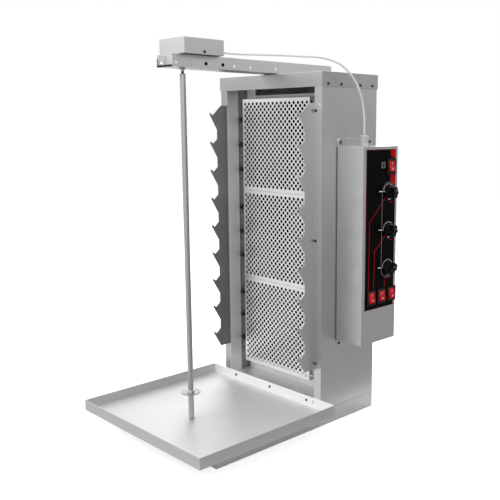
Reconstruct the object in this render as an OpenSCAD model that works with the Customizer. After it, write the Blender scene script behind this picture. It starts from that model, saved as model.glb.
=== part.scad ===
// Upright electric doner grill: a sheet-steel tower with three heating zones behind
// perforated screens, a drip tray on a low plinth, and a spit that hangs from a geared
// motor on an overhead arm. Millimetres. X to the right, Y to the back, Z up.
// The origin is under the tower's front face, on the middle of its width, on the ground.

/* [Plinth and tray] */
// Height of the plinth
base_h = 45; // [35:1:70]
// How far the plinth runs forward of the tower
base_front = 354; // [300:1:400]
// Thickness of the body sheets
sheet_t = 1.5; // [1:0.1:2]
// Width of the drip tray
tray_w = 500; // [440:1:560]
// Depth of the drip tray
tray_d = 441; // [400:1:500]
// Height of the drip tray
tray_h = 29; // [24:1:40]
// Thickness of the tray's sheet
tray_t = 2; // [1:0.1:2.5]

/* [Tower] */
// Width of the tower
body_w = 396; // [370:1:420]
// Depth of the tower
body_d = 214; // [190:1:240]
// Height of the tower with its cap
body_h = 928; // [900:1:980]
// Width of each front jamb
jamb_w = 25.5; // [24:0.5:30]
// Height of the cap's skirt
skirt_h = 37; // [32:1:50]
// Play between the cap's skirt and the tower
cap_gap = 0.5; // [0.3:0.1:1]
// How far the cavity's floor lies below the tray's rim
sill_drop = 8; // [6:1:12]
// Depth of the folded return behind each jamb
return_d = 42; // [30:1:42]

/* [Heating] */
// Distance of the screens behind the tower's front face
screen_y = 24; // [18:1:28]
// Distance of the screens from the cavity's sides
screen_side = 40.5; // [36:0.5:46]
// Distance of the lowest screen's lower edge above the cavity's floor
screen_up = 40; // [34:1:48]
// Distance of the highest screen's upper edge below the tower's top
screen_drop = 60; // [56:1:66]
// Radius of a hole in a screen
hole_r = 4.4; // [3:0.1:4.6]
// Thickness of the screens' sheet
screen_t = 1; // [0.8:0.1:1.4]
// Distance of the reflector behind the front face
reflector_y = 72; // [68:1:80]
// Radius of a heating rod
rod_r = 4; // [3:0.1:4.5]
// Thickness of the board behind the rods
board_t = 8; // [6:1:10]

/* [Racks] */
// How far the teeth stand out
rack_d = 62; // [56:1:70]
// Distance of the racks' upper end below the tower's top
rack_drop = 77.4; // [70:0.1:90]
// Distance of the racks' lower end above the plinth
rack_up = 109; // [90:1:120]
// Thickness of the racks' sheet
rack_t = 2; // [1.5:0.1:2.5]

/* [Arm and motor] */
// Width of the arm's channel
arm_w = 60; // [56:1:64]
// Height of the arm's channel
arm_h = 30.5; // [30:0.5:36]
// How far the arm reaches forward of the spit
arm_nose = 51; // [46:1:60]
// Thickness of the arm's sheet
arm_t = 2; // [1.5:0.1:2.5]
// Radius of the holes along the arm's flanges
arm_hole_r = 3.5; // [3.3:0.1:4]
// Distance of the spit in front of the tower
spit_y = 277; // [270:1:282]
// Width of the motor's cover
cover_w = 100; // [90:1:110]
// Length of the motor's cover
cover_l = 118; // [114:1:130]
// Height of the motor's cover
cover_h = 37.5; // [36.5:0.5:50]
// Radius of the output shaft
shaft_r = 5.5; // [5:0.1:6]
// Module of the two gears
gear_m = 1; // [0.9:0.05:1]

/* [Spit] */
// Radius of the spit
spit_r = 7; // [6:0.1:8]
// Turn of the disc's screw about the spit, in degrees
screw_turn = 33; // [0:1:90]
// Height of the spit's lower end above the tray's floor
spit_lift = 1.8; // [1.6:0.1:3]
// Radius of the disc on the spit
disc_r = 25; // [20:1:40]
// Height of the disc's top face above the tray's floor
disc_up = 72.7; // [64:0.1:110]

/* [Control box] */
// Width of the box, away from the tower's side
ctl_w = 89; // [80:1:100]
// Depth of the box, from front to back
ctl_d = 138.5; // [136:0.5:145]
// Height of the box
ctl_h = 513.5; // [505:0.5:520]
// Distance of the box behind the tower's front face
ctl_y = 57; // [50:1:62]
// Distance of the box's top below the tower's top
ctl_drop = 185.7; // [180:0.1:200]
// Distance between two dials
dial_pitch = 99.9; // [98:0.1:106]
// Radius of a knob's skirt
knob_r = 17; // [13:0.5:18]
// Width of a rocker
rocker_w = 22.5; // [20:0.5:24]
// Height of a rocker
rocker_h = 28.5; // [26:0.5:30]
// Diameter of the motor's cable
cable_d = 5.2; // [4.8:0.1:7]

/* [Hidden] */
$fn = 48;

// Overrun of a cut past the face that it opens
cut = 1;
// Play of a fixing hole around its screw
hole_play = 0.2;
// Running play of a shaft in its bore
run_play = 0.05;
// Play between two parts that must slide
slide_play = 0.3;

// Panel screw: radii of its shank and head, height of its head, length of its shank
screw_r = 2;
screw_head_r = 3.6;
screw_head_h = 2;
screw_l = 8;
// Arm bolt: radii of its shank and head, height of its head, length of its shank
bolt_r = 3;
bolt_head_r = 4.4;
bolt_head_h = 1.8;
bolt_l = 14;

// Tower
open_w = body_w - 2 * jamb_w;
cap_over = cap_gap + sheet_t;
panel_top = body_h - sheet_t;
panel_h = panel_top - base_h;
rear_flange_w = 20;
// Cap screws: height above the skirt's edge, distances from the tower's middle depth
cap_screw_up = 7.5;
cap_screw_shares = [-0.402, -0.173, 0.173, 0.402];
// Heights of the rear screws and of the vents' lower ends, as shares of the side panels' height
rear_screw_shares = [0.085, 0.49, 0.9];
vent_shares = [0.12, 0.777];
// Rear cover: play to the tower's sides and vents
rear_play = 2;
vent_w = 6;
vent_h = 70;
vent_pitch = 24;
vent_count = 9;

// Tray and cavity floor: heights, and the tray screws as shares of the cavity's width and sill
floor_top = base_h + tray_t;
sill_z = base_h + tray_h - sill_drop;
tray_screw_side_share = 0.426;
tray_screw_up_share = 0.81;
// Slit in the tray's back wall
slit_w = 2.5;
slit_h = 10;
slit_side = 80;
slit_up = 11;

// Pivot stud
pivot_r = 3;
pivot_base_r = 5;
pivot_base_h = 1.2;
pivot_h = 15;
pivot_hole_h = 16;

// Burner box: heights, rods with their pins and beads, column of small vents in its walls
box_lap = 14;
box_drop = 23;
box_top = body_h - box_drop;
reflector_drop = 48;
reflector_top = body_h - reflector_drop;
rod_back = 10;
rod_y = reflector_y - board_t - rod_back;
rod_gap_share = 0.28;
rod_past = 13.5;
rod_reach = open_w / 2 + rod_past;
pin_r = 1.5;
pin_l = 4;
pin_reach = rod_reach + pin_l;
bead_r = 6.5;
bead_l = 12;
rod_play = 0.5;
vent_r = 2.5;
vent_share = 0.5676;
vent_y = return_d + vent_share * (rod_y - bead_r - return_d);
board_margin = 2;
blanket_t = 25;
blanket_side = 5;
blanket_up = 14;
blanket_drop = 58;

// Screens: three equal zones, staggered rows of holes
screen_w = open_w - 2 * screen_side;
screen_z = sill_z + screen_up;
zone_h = (body_h - screen_drop - screen_z) / 3;
screen_seam = 0.6;
holes_long = 16;
hole_edge = 10.5;
hole_pitch = (screen_w - 2 * hole_edge) / (holes_long - 1);
row_count = 29;
border = 13.6;
row_pitch = (zone_h - 2 * border) / (row_count - 1);
fold_column = 8.2;
foot_w = 10;

// Racks, one tooth below its tip, forward and down as shares of reach and pitch
tip_front_share = 0.976;
notch_share = 0.831;
valley_share = 0.592;
tip_low_share = 0.064;
notch_drop_share = 0.092;
slope_end_share = 0.599;
valley_end_share = 0.925;
tail_share = 0.611;
tooth_count = 9;
tooth_drop = 19.8;
rack_top = body_h - rack_drop;
rack_foot_z = base_h + rack_up;
tooth_z = rack_top - tooth_drop;
tooth_pitch = (tooth_z - rack_foot_z) / (tooth_count - 1 + tail_share);
rack_head_d = 22;
rack_margin = 1;
rack_screw_in = 7;
// Heights of the rack's screws, as shares of its height
rack_screw_shares = [0.0257, 0.498, 0.9727];
rack_corner_r = 18;

// Arm: its holes are measured from its front end, its bolts are shares of the tower's depth
doubler_t = 2;
doubler_w = 90;
doubler_in = 12;
arm_front = spit_y + arm_nose;
arm_z = body_h + doubler_t;
arm_back = body_d + cap_over;
arm_hole_up = 11.5;
arm_hole_pitch = 88.5;
arm_hole_front = 10.5;
arm_hole_second = 151;
arm_hole_ys = [for (i = [0:2], start = [arm_hole_front, arm_hole_second])
  -arm_front + start + i * arm_hole_pitch];
arm_shaft_hole_r = 12;
arm_bolt_x = 18;
arm_bolt_shares = [0.187, 0.841];
arm_bolt_ys = [for (share = arm_bolt_shares) share * body_d];
bracket_bolt_ys = [arm_hole_ys[1], arm_hole_ys[2]];

// Motor bracket and gear case
bracket_t = 2;
bracket_z = arm_z + arm_h;
bracket_end = 12;
bracket_back = -bracket_bolt_ys[0] - bracket_end;
bracket_clear = 2;
bracket_leg_h = arm_h - arm_t - bracket_clear;
bracket_play = 0.2;
bracket_ear_w = 14;
bracket_ear_h = 12;
cover_t = 1.2;
cover_nose = 30;
cover_front = spit_y + cover_nose;
cover_back = cover_front - cover_l;
tongue_play = 0.5;
tongue_w = arm_w - 2 * arm_t - 2 * tongue_play;
tongue_clear = 5.5;
tongue_h = arm_h - tongue_clear;
cover_screw_up = 6.5;
bush_r = 8.5;
bush_drop = 6;
case_t = 2;
case_wall = 2.5;
case_w = 64;
case_front = 26;
case_l = 71;
case_h = 13.5;
case_z = bracket_z + bracket_t;
lid_z = case_z + case_h;
big_teeth = 34;
small_teeth = 14;
pressure_angle = 25;
backlash = 0.16;
mesh_play = 0.12;
gear_h = 7;
gear_lift = 0.5;
axis_gap = gear_m * (big_teeth + small_teeth) / 2 + mesh_play;
pinion_y = axis_gap - spit_y;
pinion_shaft_r = 2;
pinion_hole_r = 4;
can_r = 23;
can_play = 2.8;
can_h = cover_h - cover_t - bracket_t - case_h - case_t - can_play;
can_wall = 3;

// Output shaft and spit
shaft_low = 5;
shaft_tip_h = 4;
neck_r = 3;
neck_gap = 5;
neck_up = 17;
neck_down = 18;
shaft_z = body_h - shaft_low;
spit_top = shaft_z - neck_gap;
spit_bottom = floor_top + spit_lift;
spit_chamfer = 1.5;
disc_t = 2;
disc_z = floor_top + disc_up;
collar_wall = 2;
collar_r = spit_r + collar_wall;
collar_up = 5;
collar_down = 7;
disc_screw_r = 2;
disc_screw_l = 6;

// Control box
plate_t = 2.5;
ctl_t = 1.2;
plate_in = 2.5;
lug_h = 20.5;
lug_screw_in = 8.5;
lug_corner_r = 8;
ctl_z = body_h - ctl_drop - ctl_h;
ctl_x = body_w / 2 + plate_t;
face_x = body_w / 2 + ctl_w;
ctl_mid_y = ctl_y + ctl_d / 2;
label_t = 0.4;
label_in = 12;
label_back = 8.5;
label_w = ctl_d - label_in - label_back;
label_y = ctl_y + label_in;
label_down = 7.3;
label_x = face_x + label_t;
// Dials, switches and lamp: across the face as shares of the box's depth, and down it in
// steps from the box's top: the main switch, three dials, the low switches, the label's end
dial_share = 0.746;
dial_y = ctl_y + dial_share * ctl_d;
dial_turns = [0, -11, -45];
main_rocker_share = 0.803;
main_rocker_y = ctl_y + main_rocker_share * ctl_d;
main_rocker_down = 52.1;
main_rocker_z = ctl_z + ctl_h - main_rocker_down;
dial_step = 66.2;
dial_z = main_rocker_z - dial_step - dial_pitch;
low_rocker_shares = [0.2664, 0.5682, 0.87];
low_rocker_step = 72.4;
low_rocker_z = dial_z - dial_pitch - low_rocker_step;
label_foot = 31.8;
label_z = low_rocker_z - label_foot;
label_h = ctl_z + ctl_h - label_down - label_z;
lamp_share = 0.558;
lamp_y = ctl_y + lamp_share * ctl_d;
lamp_down = 47.5;
lamp_z = ctl_z + ctl_h - lamp_down;
regulator_w = 40;
regulator_h = 50;
regulator_l = 32;
regulator_shaft_r = 3;
regulator_depth = 12;
shaft_hole_r = 4.5;
shaft_out = 17;
knob_gap = 0.8;
knob_skirt_h = 6;
knob_wing_h = 17.3;
knob_wing_w = 14;
knob_wing_share = 0.87;
knob_wing_r = knob_wing_share * knob_r;
knob_dome_r = 7.5;
knob_dome_h = 6.5;
dome_r = (knob_dome_r * knob_dome_r + knob_dome_h * knob_dome_h) / (2 * knob_dome_h);
frame_side = 11.3;
frame_edge = 10;
frame_out = 3;
switch_body_t = 2;
switch_l = 24;
rocker_play = 0.6;
rocker_tilt = 10;
rocker_end_share = 0.93;
rocker_dip_share = 0.8;
rocker_out = 4;
rocker_in = 7;
rocker_pin_r = 1.5;
rocker_axis_x = face_x - ctl_t;
rocker_places = concat([[main_rocker_y, main_rocker_z]],
  [for (share = low_rocker_shares) [ctl_y + share * ctl_d, low_rocker_z]]);
lamp_w = 13.5;
lamp_h = 15;
lamp_l = 12;
lamp_out = 1.4;
gland_out = 44;
gland_x = body_w / 2 + gland_out;
gland_in = 55;
gland_y = ctl_y + gland_in;
gland_body_r = 10.5;
gland_body_h = 23;
gland_lip_r = 11.5;
gland_lip_h = 5;
gland_tail_r = 8;
gland_tail_h = 8;
gland_top = ctl_z + ctl_h + gland_body_h + gland_lip_h;
core_r = 2;
wire_hole_r = 9;
wire_hole_up = 60;

// Glands of the motor and of the mains lead, terminal block
motor_gland_x = 24;
motor_gland_up = 10.5;
motor_gland_r = 7;
motor_gland_tail_r = 6;
motor_gland_l = 10;
motor_gland_tail = 6;
mains_gland_x = -120;
mains_gland_z = 90;
mains_gland_r = 11;
mains_gland_l = 14;
mains_bore_r = 4.5;
mains_tail_r = 8;
mains_tail_l = 10;
block_w = 60;
block_d = 30;
block_h = 30;
block_share = 0.2273;
block_x = block_share * body_w;
block_y = 150;

// Route of the motor's cable, from the motor's gland over the cap and down to the
// control box's gland
cable_route = [
  [24, -179, 971], [24.5, -167, 971], [32, -151, 970], [49, -127, 969], [80, -92, 968],
  [112, -58, 967], [144, -22, 965], [171, 14, 963], [193, 46, 955], [208, 67, 941],
  [220, 84, 921], [230, 97, 895], [237, 106, 862], [241, 110.5, 828], [242, 112, 798],
  [242, 112, 770.3]
];
cable_sides = 10;
cable_steps = 3;

// Shared shapes

// A sheet screw whose head's underside lies at the origin, shank down
module screw(r, head_r, head_h, l) {
  translate([0, 0, -l]) cylinder(r = r, h = l);
  cylinder(r1 = head_r, r2 = head_r * 3 / 4, h = head_h);
}

// The same, with its head towards +X, -X, +Y, -Y or +Z
module facing(direction) {
  if (direction == "+x") rotate([0, 90, 0]) children();
  if (direction == "-x") rotate([0, -90, 0]) children();
  if (direction == "+y") rotate([-90, 0, 0]) children();
  if (direction == "-y") rotate([90, 0, 0]) children();
  if (direction == "+z") children();
}

module panel_screw(place, direction) {
  translate(place) facing(direction) screw(screw_r, screw_head_r, screw_head_h, screw_l);
}

module arm_bolt(place, direction) {
  translate(place) facing(direction) screw(bolt_r, bolt_head_r, bolt_head_h, bolt_l);
}

// A straight hole through whatever lies near a screw's place
module bore(place, direction, r, l) {
  translate(place) facing(direction) translate([0, 0, -l / 2]) cylinder(r = r, h = l);
}

module both_sides() {
  children();
  mirror([1, 0, 0]) children();
}

// Places of the panel screws, each as [place, direction], for the right side where paired
cap_screw_z = body_h - skirt_h + cap_screw_up;
cap_screws = [for (share = cap_screw_shares)
  [[body_w / 2 + cap_over, body_d * (1 / 2 + share), cap_screw_z], "+x"]];
rear_screws = [for (share = rear_screw_shares)
  [[body_w / 2 - rear_flange_w / 2, body_d, base_h + share * panel_h], "+y"]];
rack_screws = [for (share = rack_screw_shares)
  [[open_w / 2 + rack_screw_in, -rack_t, rack_foot_z + share * (rack_top - rack_foot_z)], "-y"]];
tray_screws = [for (i = [-1:1])
  [[i * tray_screw_side_share * open_w, -tray_t, base_h + tray_screw_up_share * (sill_z - base_h)], "-y"]];
lug_screws = [for (y = [-1, 1], z = [ctl_z - lug_h / 2, ctl_z + ctl_h + lug_h / 2])
  [[ctl_x, ctl_mid_y + y * (ctl_d / 2 - plate_in - lug_screw_in), z], "+x"]];
cover_screw = [[cover_w / 2, -(cover_front + cover_back) / 2, bracket_z + cover_screw_up], "+x"];

module screw_holes(list) {
  for (s = list) bore(s[0], s[1], screw_r + hole_play, 4 * screw_l);
}

// Hole through the tower's side and the control box's plate for the wires
module wire_hole() {
  bore([body_w / 2, ctl_mid_y, ctl_z + wire_hole_up], "+x", wire_hole_r, 4 * sheet_t + 2 * cut);
}

// Plinth

module base_shell() {
  color("silver") difference() {
    translate([-body_w / 2, -base_front, 0]) cube([body_w, base_front + body_d, base_h]);
    translate([-body_w / 2 + sheet_t, -base_front + sheet_t, -cut])
      cube([body_w - 2 * sheet_t, base_front + body_d - 2 * sheet_t, base_h - sheet_t + cut]);
  }
}

module base_plate() {
  color("darkgray") translate([-body_w / 2 + sheet_t, -base_front + sheet_t, 0])
    cube([body_w - 2 * sheet_t, base_front + body_d - 2 * sheet_t, sheet_t]);
}

module drip_tray() {
  color("gainsboro") difference() {
    translate([-tray_w / 2, -tray_d, base_h]) cube([tray_w, tray_d, tray_h]);
    translate([-tray_w / 2 + tray_t, -tray_d + tray_t, floor_top])
      cube([tray_w - 2 * tray_t, tray_d - 2 * tray_t, tray_h + cut]);
    screw_holes(tray_screws);
    translate([tray_w / 2 - slit_side - slit_w / 2, -tray_t - cut, base_h + slit_up])
      cube([slit_w, tray_t + 2 * cut, slit_h]);
  }
}

module pivot_stud() {
  color("dimgray") translate([0, -spit_y, floor_top]) {
    cylinder(r = pivot_base_r, h = pivot_base_h);
    cylinder(r = pivot_r, h = pivot_h);
  }
}

// Tower

// Right-hand side: outer wall, front jamb, folded return and rear flange
module side_sheet() {
  difference() {
    translate([0, 0, base_h]) linear_extrude(panel_h) union() {
      translate([body_w / 2 - sheet_t, 0]) square([sheet_t, body_d]);
      translate([open_w / 2, 0]) square([jamb_w, sheet_t]);
      translate([open_w / 2, 0]) square([sheet_t, return_d]);
      translate([body_w / 2 - rear_flange_w, body_d - sheet_t]) square([rear_flange_w, sheet_t]);
    }
    screw_holes(cap_screws);
    screw_holes(rear_screws);
    screw_holes(rack_screws);
  }
}

module left_side_panel() {
  color("lightgray") mirror([1, 0, 0]) side_sheet();
}

module right_side_panel() {
  color("lightgray") difference() {
    side_sheet();
    screw_holes(lug_screws);
    wire_hole();
  }
}

module rear_cover() {
  w = body_w - 2 * sheet_t - 2 * rear_play;
  color("silver") difference() {
    translate([-w / 2, body_d - 2 * sheet_t, base_h]) cube([w, sheet_t, panel_h]);
    both_sides() screw_holes(rear_screws);
    for (share = vent_shares, i = [0:vent_count - 1])
      translate([(i - (vent_count - 1) / 2) * vent_pitch - vent_w / 2, body_d - 2 * sheet_t - cut,
                 base_h + share * panel_h])
        cube([vent_w, sheet_t + 2 * cut, vent_h]);
    bore([mains_gland_x, body_d, mains_gland_z], "+y", mains_tail_r, 4 * sheet_t + 2 * cut);
  }
}

module top_cap() {
  w = body_w + 2 * cap_over;
  d = body_d + 2 * cap_over;
  color("silver") difference() {
    translate([-w / 2, -cap_over, body_h - skirt_h]) cube([w, d, skirt_h]);
    translate([-w / 2 + sheet_t, -cap_over + sheet_t, body_h - skirt_h - cut])
      cube([w - 2 * sheet_t, d - 2 * sheet_t, skirt_h - sheet_t + cut]);
    both_sides() screw_holes(cap_screws);
    for (x = [-1, 1], y = arm_bolt_ys)
      bore([x * arm_bolt_x, y, body_h], "+z", bolt_r + hole_play, 4 * sheet_t + 2 * cut);
  }
}

module cavity_floor() {
  color("lightgray") difference() {
    translate([-open_w / 2, 0, 0]) {
      translate([0, 0, base_h]) cube([open_w, sheet_t, sill_z - base_h]);
      translate([0, 0, sill_z - sheet_t]) cube([open_w, reflector_y + sheet_t, sheet_t]);
      translate([0, reflector_y, base_h]) cube([open_w, sheet_t, sill_z - base_h]);
    }
    screw_holes(tray_screws);
  }
}

// Heating

// Heights of the three rods of a zone
function zone_z(zone) = screen_z + zone * zone_h;
function rod_zs(zone) = [for (i = [-1:1]) zone_z(zone) + zone_h / 2 + i * rod_gap_share * zone_h];

module burner_box() {
  wall = open_w / 2 + sheet_t;
  color("whitesmoke") difference() {
    union() {
      both_sides() translate([wall, return_d - box_lap, sill_z])
        cube([sheet_t, reflector_y + sheet_t - return_d + box_lap, box_top - sill_z]);
      translate([-wall, reflector_y, sill_z]) cube([2 * wall, sheet_t, box_top - sill_z]);
    }
    translate([-screen_w / 2, reflector_y - cut, reflector_top])
      cube([screen_w, sheet_t + 2 * cut, box_top - reflector_top + cut]);
    both_sides() {
      for (zone = [0:2], z = rod_zs(zone)) bore([wall, rod_y, z], "+x", bead_r, 4 * sheet_t);
      for (z = [screen_z + border:2 * row_pitch:screen_z + 3 * zone_h - border])
        bore([wall, vent_y, z], "+x", vent_r, 4 * sheet_t);
    }
  }
}

module radiant_board() {
  color("dimgray") translate([-screen_w / 2 + board_margin, reflector_y - board_t, screen_z])
    cube([screen_w - 2 * board_margin, board_t, 3 * zone_h]);
}

module heater_rods(zone) {
  color("gray") for (z = rod_zs(zone)) translate([0, rod_y, z]) rotate([0, 90, 0]) {
    translate([0, 0, -rod_reach]) cylinder(r = rod_r, h = 2 * rod_reach);
    translate([0, 0, -pin_reach]) cylinder(r = pin_r, h = 2 * pin_reach);
  }
}

module rod_insulators() {
  color("ivory") both_sides() for (zone = [0:2], z = rod_zs(zone))
    translate([open_w / 2 + sheet_t - bead_l / 2, rod_y, z]) rotate([0, 90, 0]) difference() {
      cylinder(r = bead_r, h = bead_l);
      translate([0, 0, -cut]) cylinder(r = rod_r, h = bead_l + 2 * cut);
    }
}

module insulation_blanket() {
  w = open_w - 2 * blanket_side;
  z = sill_z + blanket_up;
  color("beige") translate([-w / 2, reflector_y + sheet_t, z]) cube([w, blanket_t, body_h - blanket_drop - z]);
}

// A screen: perforated front, two perforated sides folded back, and a foot on each side
module screen(zone) {
  h = zone_h - screen_seam;
  d = reflector_y - screen_y;
  color("gainsboro") translate([0, 0, zone_z(zone)]) {
    translate([0, screen_y + screen_t, 0]) rotate([90, 0, 0]) linear_extrude(screen_t) difference() {
      translate([-screen_w / 2, 0]) square([screen_w, h]);
      for (r = [0:row_count - 1], c = [0:holes_long - 1 - r % 2])
        translate([(c - (holes_long - 1 - r % 2) / 2) * hole_pitch, border + r * row_pitch]) circle(hole_r);
    }
    both_sides() {
      translate([screen_w / 2 - screen_t, screen_y, 0]) rotate([90, 0, 90]) linear_extrude(screen_t)
        difference() {
          square([d, h]);
          for (r = [0:2:row_count - 1]) translate([fold_column, border + r * row_pitch]) circle(hole_r);
          for (z = rod_zs(zone)) translate([rod_y - screen_y, z - zone_z(zone)]) circle(rod_r + rod_play);
        }
      translate([screen_w / 2 - screen_t, reflector_y - screen_t, 0]) cube([foot_w, screen_t, h]);
    }
  }
}

// Racks

// One tooth's outline below its tip, as [reach, height]
function tooth(i) = let(z = tooth_z - i * tooth_pitch) concat(
  [[-notch_share * rack_d, z - notch_drop_share * tooth_pitch],
   [-tip_front_share * rack_d, z],
   [-rack_d, z - tip_low_share * tooth_pitch],
   [-valley_share * rack_d, z - slope_end_share * tooth_pitch]],
  i < tooth_count - 1 ? [[-valley_share * rack_d, z - valley_end_share * tooth_pitch]] : []);

rack_outline = concat(
  [[0, rack_foot_z], [0, rack_top], [-rack_head_d, rack_top]],
  [for (i = [0:tooth_count - 1]) each tooth(i)],
  [[-valley_share * rack_d, rack_foot_z]]);

module rack() {
  w = jamb_w - rack_margin;
  difference() {
    union() {
      translate([open_w / 2, 0, 0]) rotate([90, 0, 90]) linear_extrude(rack_t) polygon(rack_outline);
      rotate([90, 0, 0]) linear_extrude(rack_t) intersection() {
        translate([open_w / 2, rack_foot_z]) square([w, rack_top - rack_foot_z]);
        hull() for (x = [0, w - rack_corner_r], z = [rack_foot_z + rack_corner_r, rack_top - rack_corner_r])
          translate([open_w / 2 + x, z]) circle(rack_corner_r);
      }
    }
    screw_holes(rack_screws);
  }
}

module rack_right() {
  color("darkgray") rack();
}

module rack_left() {
  color("gray") mirror([1, 0, 0]) rack();
}

// All the like screws that hold the sheets together
module panel_screws() {
  color("dimgray") {
    both_sides() {
      for (s = cap_screws) panel_screw(s[0], s[1]);
      for (s = rear_screws) panel_screw(s[0], s[1]);
      for (s = rack_screws) panel_screw(s[0], s[1]);
      panel_screw(cover_screw[0], cover_screw[1]);
    }
    for (s = tray_screws) panel_screw(s[0], s[1]);
    for (s = lug_screws) panel_screw(s[0], s[1]);
  }
}

// Arm

module arm_doubler() {
  color("silver") difference() {
    translate([-doubler_w / 2, doubler_in, body_h]) cube([doubler_w, body_d - 2 * doubler_in, doubler_t]);
    for (x = [-1, 1], y = arm_bolt_ys)
      bore([x * arm_bolt_x, y, body_h], "+z", bolt_r + hole_play, 4 * doubler_t + 2 * cut);
  }
}

// The channel's floor, welded between its two flanges
module arm_channel() {
  color("silver") difference() {
    translate([-arm_w / 2 + arm_t, -arm_front, arm_z])
      cube([arm_w - 2 * arm_t, arm_front + arm_back, arm_t]);
    bore([0, -spit_y, arm_z], "+z", arm_shaft_hole_r, 4 * arm_t);
    for (x = [-1, 1], y = arm_bolt_ys)
      bore([x * arm_bolt_x, y, arm_z], "+z", bolt_r + hole_play, 4 * arm_t + 2 * cut);
  }
}

module arm_flanges() {
  color("silver") difference() {
    both_sides() translate([arm_w / 2 - arm_t, -arm_front, arm_z])
      cube([arm_t, arm_front + arm_back, arm_h]);
    for (y = arm_hole_ys) bore([0, y, arm_z + arm_hole_up], "+x", arm_hole_r, arm_w + 2 * cut);
  }
}

module arm_bolts() {
  color("black") {
    both_sides() for (y = bracket_bolt_ys) arm_bolt([arm_w / 2, y, arm_z + arm_hole_up], "+x");
    for (x = [-1, 1], y = arm_bolt_ys) arm_bolt([x * arm_bolt_x, y, arm_z + arm_t], "+z");
  }
}

// Motor and gears

module motor_bracket() {
  plate_w = cover_w - 2 * cover_t - 2 * bracket_play;
  leg_x = arm_w / 2 - arm_t;
  color("lightgray") difference() {
    union() {
      translate([-plate_w / 2, -cover_front + cover_t + bracket_play, bracket_z])
        cube([plate_w, cover_l - 2 * cover_t - 2 * bracket_play, bracket_t]);
      both_sides() translate([leg_x - bracket_t, -cover_front + 2 * cover_t, bracket_z - bracket_leg_h])
        cube([bracket_t, cover_front - 2 * cover_t - bracket_back, bracket_leg_h]);
      both_sides() translate([plate_w / 2 - bracket_t, cover_screw[0][1] - bracket_ear_w / 2, bracket_z])
        cube([bracket_t, bracket_ear_w, bracket_ear_h]);
    }
    bore([0, -spit_y, bracket_z], "+z", bush_r, 4 * bracket_t + 2 * cut);
    for (y = bracket_bolt_ys)
      bore([0, y, arm_z + arm_hole_up], "+x", bolt_r + hole_play, arm_w + 2 * cut);
    both_sides() screw_holes([cover_screw]);
  }
}

module shaft_bush() {
  color("goldenrod") translate([0, -spit_y, bracket_z - bush_drop]) difference() {
    cylinder(r = bush_r, h = bush_drop + bracket_t + case_t);
    translate([0, 0, -cut])
      cylinder(r = shaft_r + run_play, h = bush_drop + bracket_t + case_t + 2 * cut);
  }
}

module gear_case() {
  color("gray") translate([-case_w / 2, -spit_y - case_front, case_z]) difference() {
    cube([case_w, case_l, case_h]);
    translate([case_wall, case_wall, case_t])
      cube([case_w - 2 * case_wall, case_l - 2 * case_wall, case_h]);
    translate([case_w / 2, case_front, -cut]) cylinder(r = bush_r, h = case_t + 2 * cut);
  }
}

module gear_lid() {
  color("dimgray") difference() {
    translate([-case_w / 2, -spit_y - case_front, lid_z]) cube([case_w, case_l, case_t]);
    bore([0, pinion_y, lid_z], "+z", pinion_hole_r, 4 * case_t);
  }
}

module motor_can() {
  color("darkgray") translate([0, pinion_y, lid_z + case_t]) difference() {
    cylinder(r = can_r, h = can_h);
    translate([0, 0, -cut]) cylinder(r = pinion_shaft_r + run_play, h = can_h - can_wall + cut);
  }
}

module motor_cover() {
  top_z = bracket_z;
  color("silver") difference() {
    union() {
      difference() {
        translate([-cover_w / 2, -cover_front, top_z]) cube([cover_w, cover_l, cover_h]);
        translate([-cover_w / 2 + cover_t, -cover_front + cover_t, top_z - cut])
          cube([cover_w - 2 * cover_t, cover_l - 2 * cover_t, cover_h - cover_t + cut]);
      }
      translate([-tongue_w / 2, -cover_front, top_z - tongue_h]) cube([tongue_w, cover_t, tongue_h]);
    }
    both_sides() screw_holes([cover_screw]);
    bore([motor_gland_x, -cover_back, bracket_z + motor_gland_up], "+y", motor_gland_tail_r,
      4 * cover_t + 2 * cut);
  }
}

module motor_gland() {
  color("black") translate([motor_gland_x, -cover_back, bracket_z + motor_gland_up])
    rotate([-90, 0, 0]) difference() {
      union() {
        cylinder(r = motor_gland_r, h = motor_gland_l);
        translate([0, 0, -motor_gland_tail]) cylinder(r = motor_gland_tail_r, h = motor_gland_tail);
      }
      translate([0, 0, -motor_gland_tail - cut])
        cylinder(r = core_r, h = motor_gland_l + motor_gland_tail + 2 * cut);
    }
}

// Flank of a tooth: the involute of the base circle, unwound by a degrees
function unwound(base_r, a) = base_r * [cos(a) + a * PI / 180 * sin(a), sin(a) - a * PI / 180 * cos(a)];
function turned(p, a) = [p[0] * cos(a) - p[1] * sin(a), p[0] * sin(a) + p[1] * cos(a)];
function flipped(p) = [p[0], -p[1]];

// A spur gear's outline, with a tooth on the +X axis
module gear_outline(teeth) {
  pitch_r = gear_m * teeth / 2;
  base_r = pitch_r * cos(pressure_angle);
  tip_r = pitch_r + gear_m;
  root_r = pitch_r - gear_m * 1.25;
  roll_pitch = sqrt(pow(pitch_r / base_r, 2) - 1) * 180 / PI;
  roll_tip = sqrt(pow(tip_r / base_r, 2) - 1) * 180 / PI;
  half_tooth = 90 / teeth - backlash / 2 / pitch_r * 180 / PI;
  start = roll_pitch - atan(roll_pitch * PI / 180) + half_tooth;
  flank = [for (i = [0:4]) turned(unwound(base_r, roll_tip * i / 4), -start)];
  foot = [turned([root_r, 0], -start)];
  side = concat(foot, flank);
  other = [for (i = [len(side) - 1:-1:0]) flipped(side[i])];
  polygon([for (t = [0:teeth - 1], p = concat(side, other)) turned(p, t * 360 / teeth)]);
}

module drive_gear() {
  color("goldenrod") translate([0, -spit_y, case_z + case_t + gear_lift]) linear_extrude(gear_h)
    difference() {
      rotate(90) gear_outline(big_teeth);
      circle(shaft_r);
    }
}

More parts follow.
